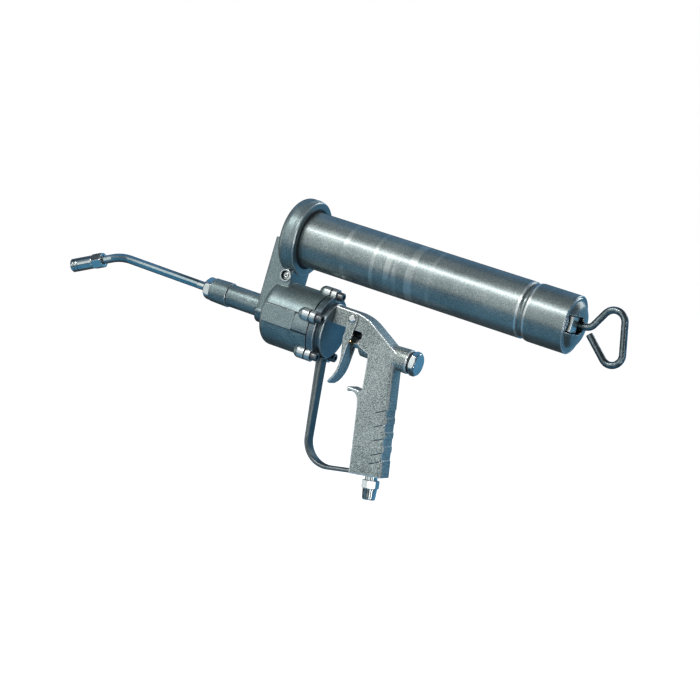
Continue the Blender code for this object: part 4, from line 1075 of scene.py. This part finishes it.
def build_pieces(paints):
    """Finer pieces; the first ones are made by functions that have their node's name."""
    for shape in (head_casting, bleed_screw, barrel_seal, barrel_tube, barrel_end_cap, rod_latch_plate,
                  rear_cover, handle, stop_screw, valve_gland, valve_stem, rear_plug, air_inlet, trigger,
                  trigger_pin, pin_clip, trigger_guard, guard_screw, outlet_valve_body, outlet_nut,
                  pipe_fitting, delivery_pipe, coupler_sleeve, coupler_body, coupler_seal, follower_cup,
                  air_piston):
        piece(shape.__name__, shape(), paints)
    piece("follower_rod", swept(rod_path(), ROD_RADIUS, 32), paints)
    piece("plug_washer", washer(161.6, 163.1, 8.1, 10.8, ROUND, z=VALVE_Z), paints)
    piece("cover_gasket", washer(CYLINDER_REAR + GAP, COVER_FRONT - GAP, 28.3, 31.4, FINE, z=PUMP_Z),
          paints)
    for number, degrees in enumerate(LUG_ANGLES, start=1):
        piece("cap_screw_%d" % number, screw_at(degrees), paints)
    for number, y in enumerate((-BOLT_Y, BOLT_Y), start=1):
        piece("handle_bolt_%d" % number, cap_screw(32, 25.5, 60.7, 4.6, 4.4, 2.5, 4.0, y, BOLT_Z, -1),
              paints)
    for index in range(4):
        piece("coupler_jaw_%d" % (index + 1), coupler_jaw(index), paints)


def build_springs(paints):
    spring_piece("follower_spring", coil(52.6, 302.0, 19.0, 1.1, 12, 20.0, 32, 10), paints)
    spring_piece("return_spring", coil(CYLINDER_FLOOR + GAP, PISTON_FRONT - GAP, 18.5, 1.2, 4, None, 32,
                                       10, z=PUMP_Z),
                 paints)
    spring_piece("valve_spring", coil(123.9, 157.2, 4.9, 0.55, 6, None, 24, 8, z=VALVE_Z), paints)
    spring_piece("check_spring", coil(-70.2, -59.7, 2.7, 0.4, 4, None, 24, 8, z=PUMP_Z), paints)
    spring_piece("coupler_spring", moved(coil(16.3, 24.7, 3.2, 0.4, 3, None, 24, 8), coupler_place()),
                 paints)


def repaint_frame(paints):
    """The CAD nodes that stay, all of them inside the gun, take the same finishes."""
    for node, item in frame["nodes"].items():
        if item.hide_render:
            continue
        item.data.materials.clear()
        item.data.materials.append(paints[SLOT_OF[node]])


# ---- studio

LIGHT_TARGET = (0.06, 0.0, -0.07)
PANELS = (  # name, place, width, height, power, colour
    ("key_strip", (-0.37, -1.25, 0.95), 0.86, 0.09, 10.0, (1.0, 1.0, 0.97)),
    ("key_soft", (-0.45, -1.35, 0.75), 1.15, 1.1, 5.4, (1.0, 1.0, 0.98)),
    ("top_strip", (-0.5, -0.15, 1.5), 1.1, 0.3, 0.7, (0.85, 0.97, 1.0)),
    ("back_key", (0.8, 1.25, 0.95), 1.1, 0.45, 5.0, (1.0, 1.0, 0.98)),
    ("left_soft", (-1.55, -1.0, 0.75), 0.8, 1.0, 1.0, (0.55, 0.80, 1.0)),
    ("front_fill", (-0.55, -1.85, -0.2), 2.2, 1.1, 8.4, (0.97, 1.0, 0.99)),
    ("left_strip", (-1.8, -0.45, -0.3), 1.0, 1.2, 5.0, (1.0, 1.0, 0.99)),
    ("right_strip", (1.75, -0.75, -0.25), 0.12, 1.3, 4.5, (1.0, 1.0, 0.99)),
    ("right_soft", (1.45, -1.8, -0.55), 0.55, 0.9, 4.2, (1.0, 1.0, 0.99)),
    ("back_cool", (0.7, 1.5, -0.1), 2.4, 2.2, 8, (0.12, 0.57, 1.0)),
    ("top_back_cool", (-0.75, 1.0, 1.25), 2.6, 1.4, 4.8, (0.12, 0.52, 1.0)),
    ("side_cool", (1.6, 0.35, 0.0), 1.6, 1.8, 3.5, (0.12, 0.57, 1.0)),
    ("low_cool", (0.0, -0.6, -1.1), 2.4, 1.4, 4.2, (0.08, 0.58, 1.0)),
)


def panel(name, place, width, height, power, colour):
    """Soft box that faces the gun; it lights and is mirrored by the gun but isn't seen itself."""
    light = bpy.data.lights.new(name, "AREA")
    light.shape = "RECTANGLE"
    light.size = width
    light.size_y = height
    light.energy = power
    light.color = colour
    item = bpy.data.objects.new(name, light)
    bpy.context.scene.collection.objects.link(item)
    item.location = place
    item.rotation_euler = (Vector(LIGHT_TARGET) - Vector(place)).to_track_quat("-Z", "Y").to_euler()
    item.visible_camera = False
    return item


def build_studio():
    for row in PANELS:
        panel(*row)
    world = bpy.data.worlds.new("studio")
    bpy.context.scene.world = world
    world.use_nodes = True
    tree = world.node_tree
    dim = tree.nodes["Background"]
    dim.inputs["Color"].default_value = (0.80, 0.92, 1.0, 1)
    dim.inputs["Strength"].default_value = 0.09
    white = tree.nodes.new("ShaderNodeBackground")
    white.inputs["Color"].default_value = (1, 1, 1, 1)
    white.inputs["Strength"].default_value = 1.0
    seen = tree.nodes.new("ShaderNodeLightPath")
    mix = tree.nodes.new("ShaderNodeMixShader")
    tree.links.new(seen.outputs["Is Camera Ray"], mix.inputs["Fac"])
    tree.links.new(dim.outputs["Background"], mix.inputs[1])
    tree.links.new(white.outputs["Background"], mix.inputs[2])
    tree.links.new(mix.outputs["Shader"], tree.nodes["World Output"].inputs["Surface"])
    bpy.context.scene.view_settings.view_transform = "Standard"


FLOOR_LEVEL = -0.42
FLOOR_HALF = 9


def build_floor():
    """Plain pale floor below the gun."""
    mesh = bpy.data.meshes.new("floor")
    mesh.from_pydata([(FLOOR_HALF * x, FLOOR_HALF * y, FLOOR_LEVEL) for x,
                      y in ((-1, -1), (1, -1), (1, 1), (-1, 1))],
                     [], [(0, 1, 2, 3)])
    paint = bpy.data.materials.new("floor_paint")
    paint.use_nodes = True
    shader = paint.node_tree.nodes["Principled BSDF"]
    shader.inputs["Base Color"].default_value = (0.6, 0.6, 0.6, 1)
    shader.inputs["Roughness"].default_value = 0.9
    shader.inputs["Specular IOR Level"].default_value = 0.0
    shader.inputs["Emission Color"].default_value = (1, 1, 1, 1)
    shader.inputs["Emission Strength"].default_value = 1.0
    mesh.materials.append(paint)
    item = bpy.data.objects.new("floor", mesh)
    bpy.context.scene.collection.objects.link(item)
    item.visible_glossy = False
    item.visible_diffuse = False


CAMERA_TURN = 25.30  # degrees
CAMERA_LIFT = 6.22
CAMERA_ROLL = 16.33
CAMERA_PLACE = (84.88, -96.57, 2210.96)  # right, up and back along the unrolled view
CAMERA_LENS = 113.14


def build_camera():
    """Camera on the gun's left side, turned, raised and rolled."""
    turn, lift, roll = (math.radians(angle) for angle in (CAMERA_TURN, CAMERA_LIFT, CAMERA_ROLL))
    right = Vector((math.cos(turn), math.sin(turn), 0))
    up = Vector((-math.sin(turn) * math.sin(lift), math.cos(turn) * math.sin(lift), math.cos(lift)))
    back = Vector((math.sin(turn) * math.cos(lift), -math.cos(turn) * math.cos(lift), math.sin(lift)))
    across, above, away = CAMERA_PLACE
    place = (across * right + above * up + away * back) * MM
    rolled_right = math.cos(roll) * right + math.sin(roll) * up
    rolled_up = -math.sin(roll) * right + math.cos(roll) * up
    pose = Matrix((rolled_right, rolled_up, back)).transposed().to_4x4()
    pose.translation = place
    lens = bpy.data.cameras.new("camera")
    lens.lens = CAMERA_LENS
    lens.sensor_width = 36
    lens.clip_start = 0.01
    item = bpy.data.objects.new("camera", lens)
    bpy.context.scene.collection.objects.link(item)
    item.matrix_world = pose
    bpy.context.scene.camera = item


build_camera()
build_floor()
build_studio()
PAINTS = make_paints()
build_pieces(PAINTS)
build_springs(PAINTS)
repaint_frame(PAINTS)
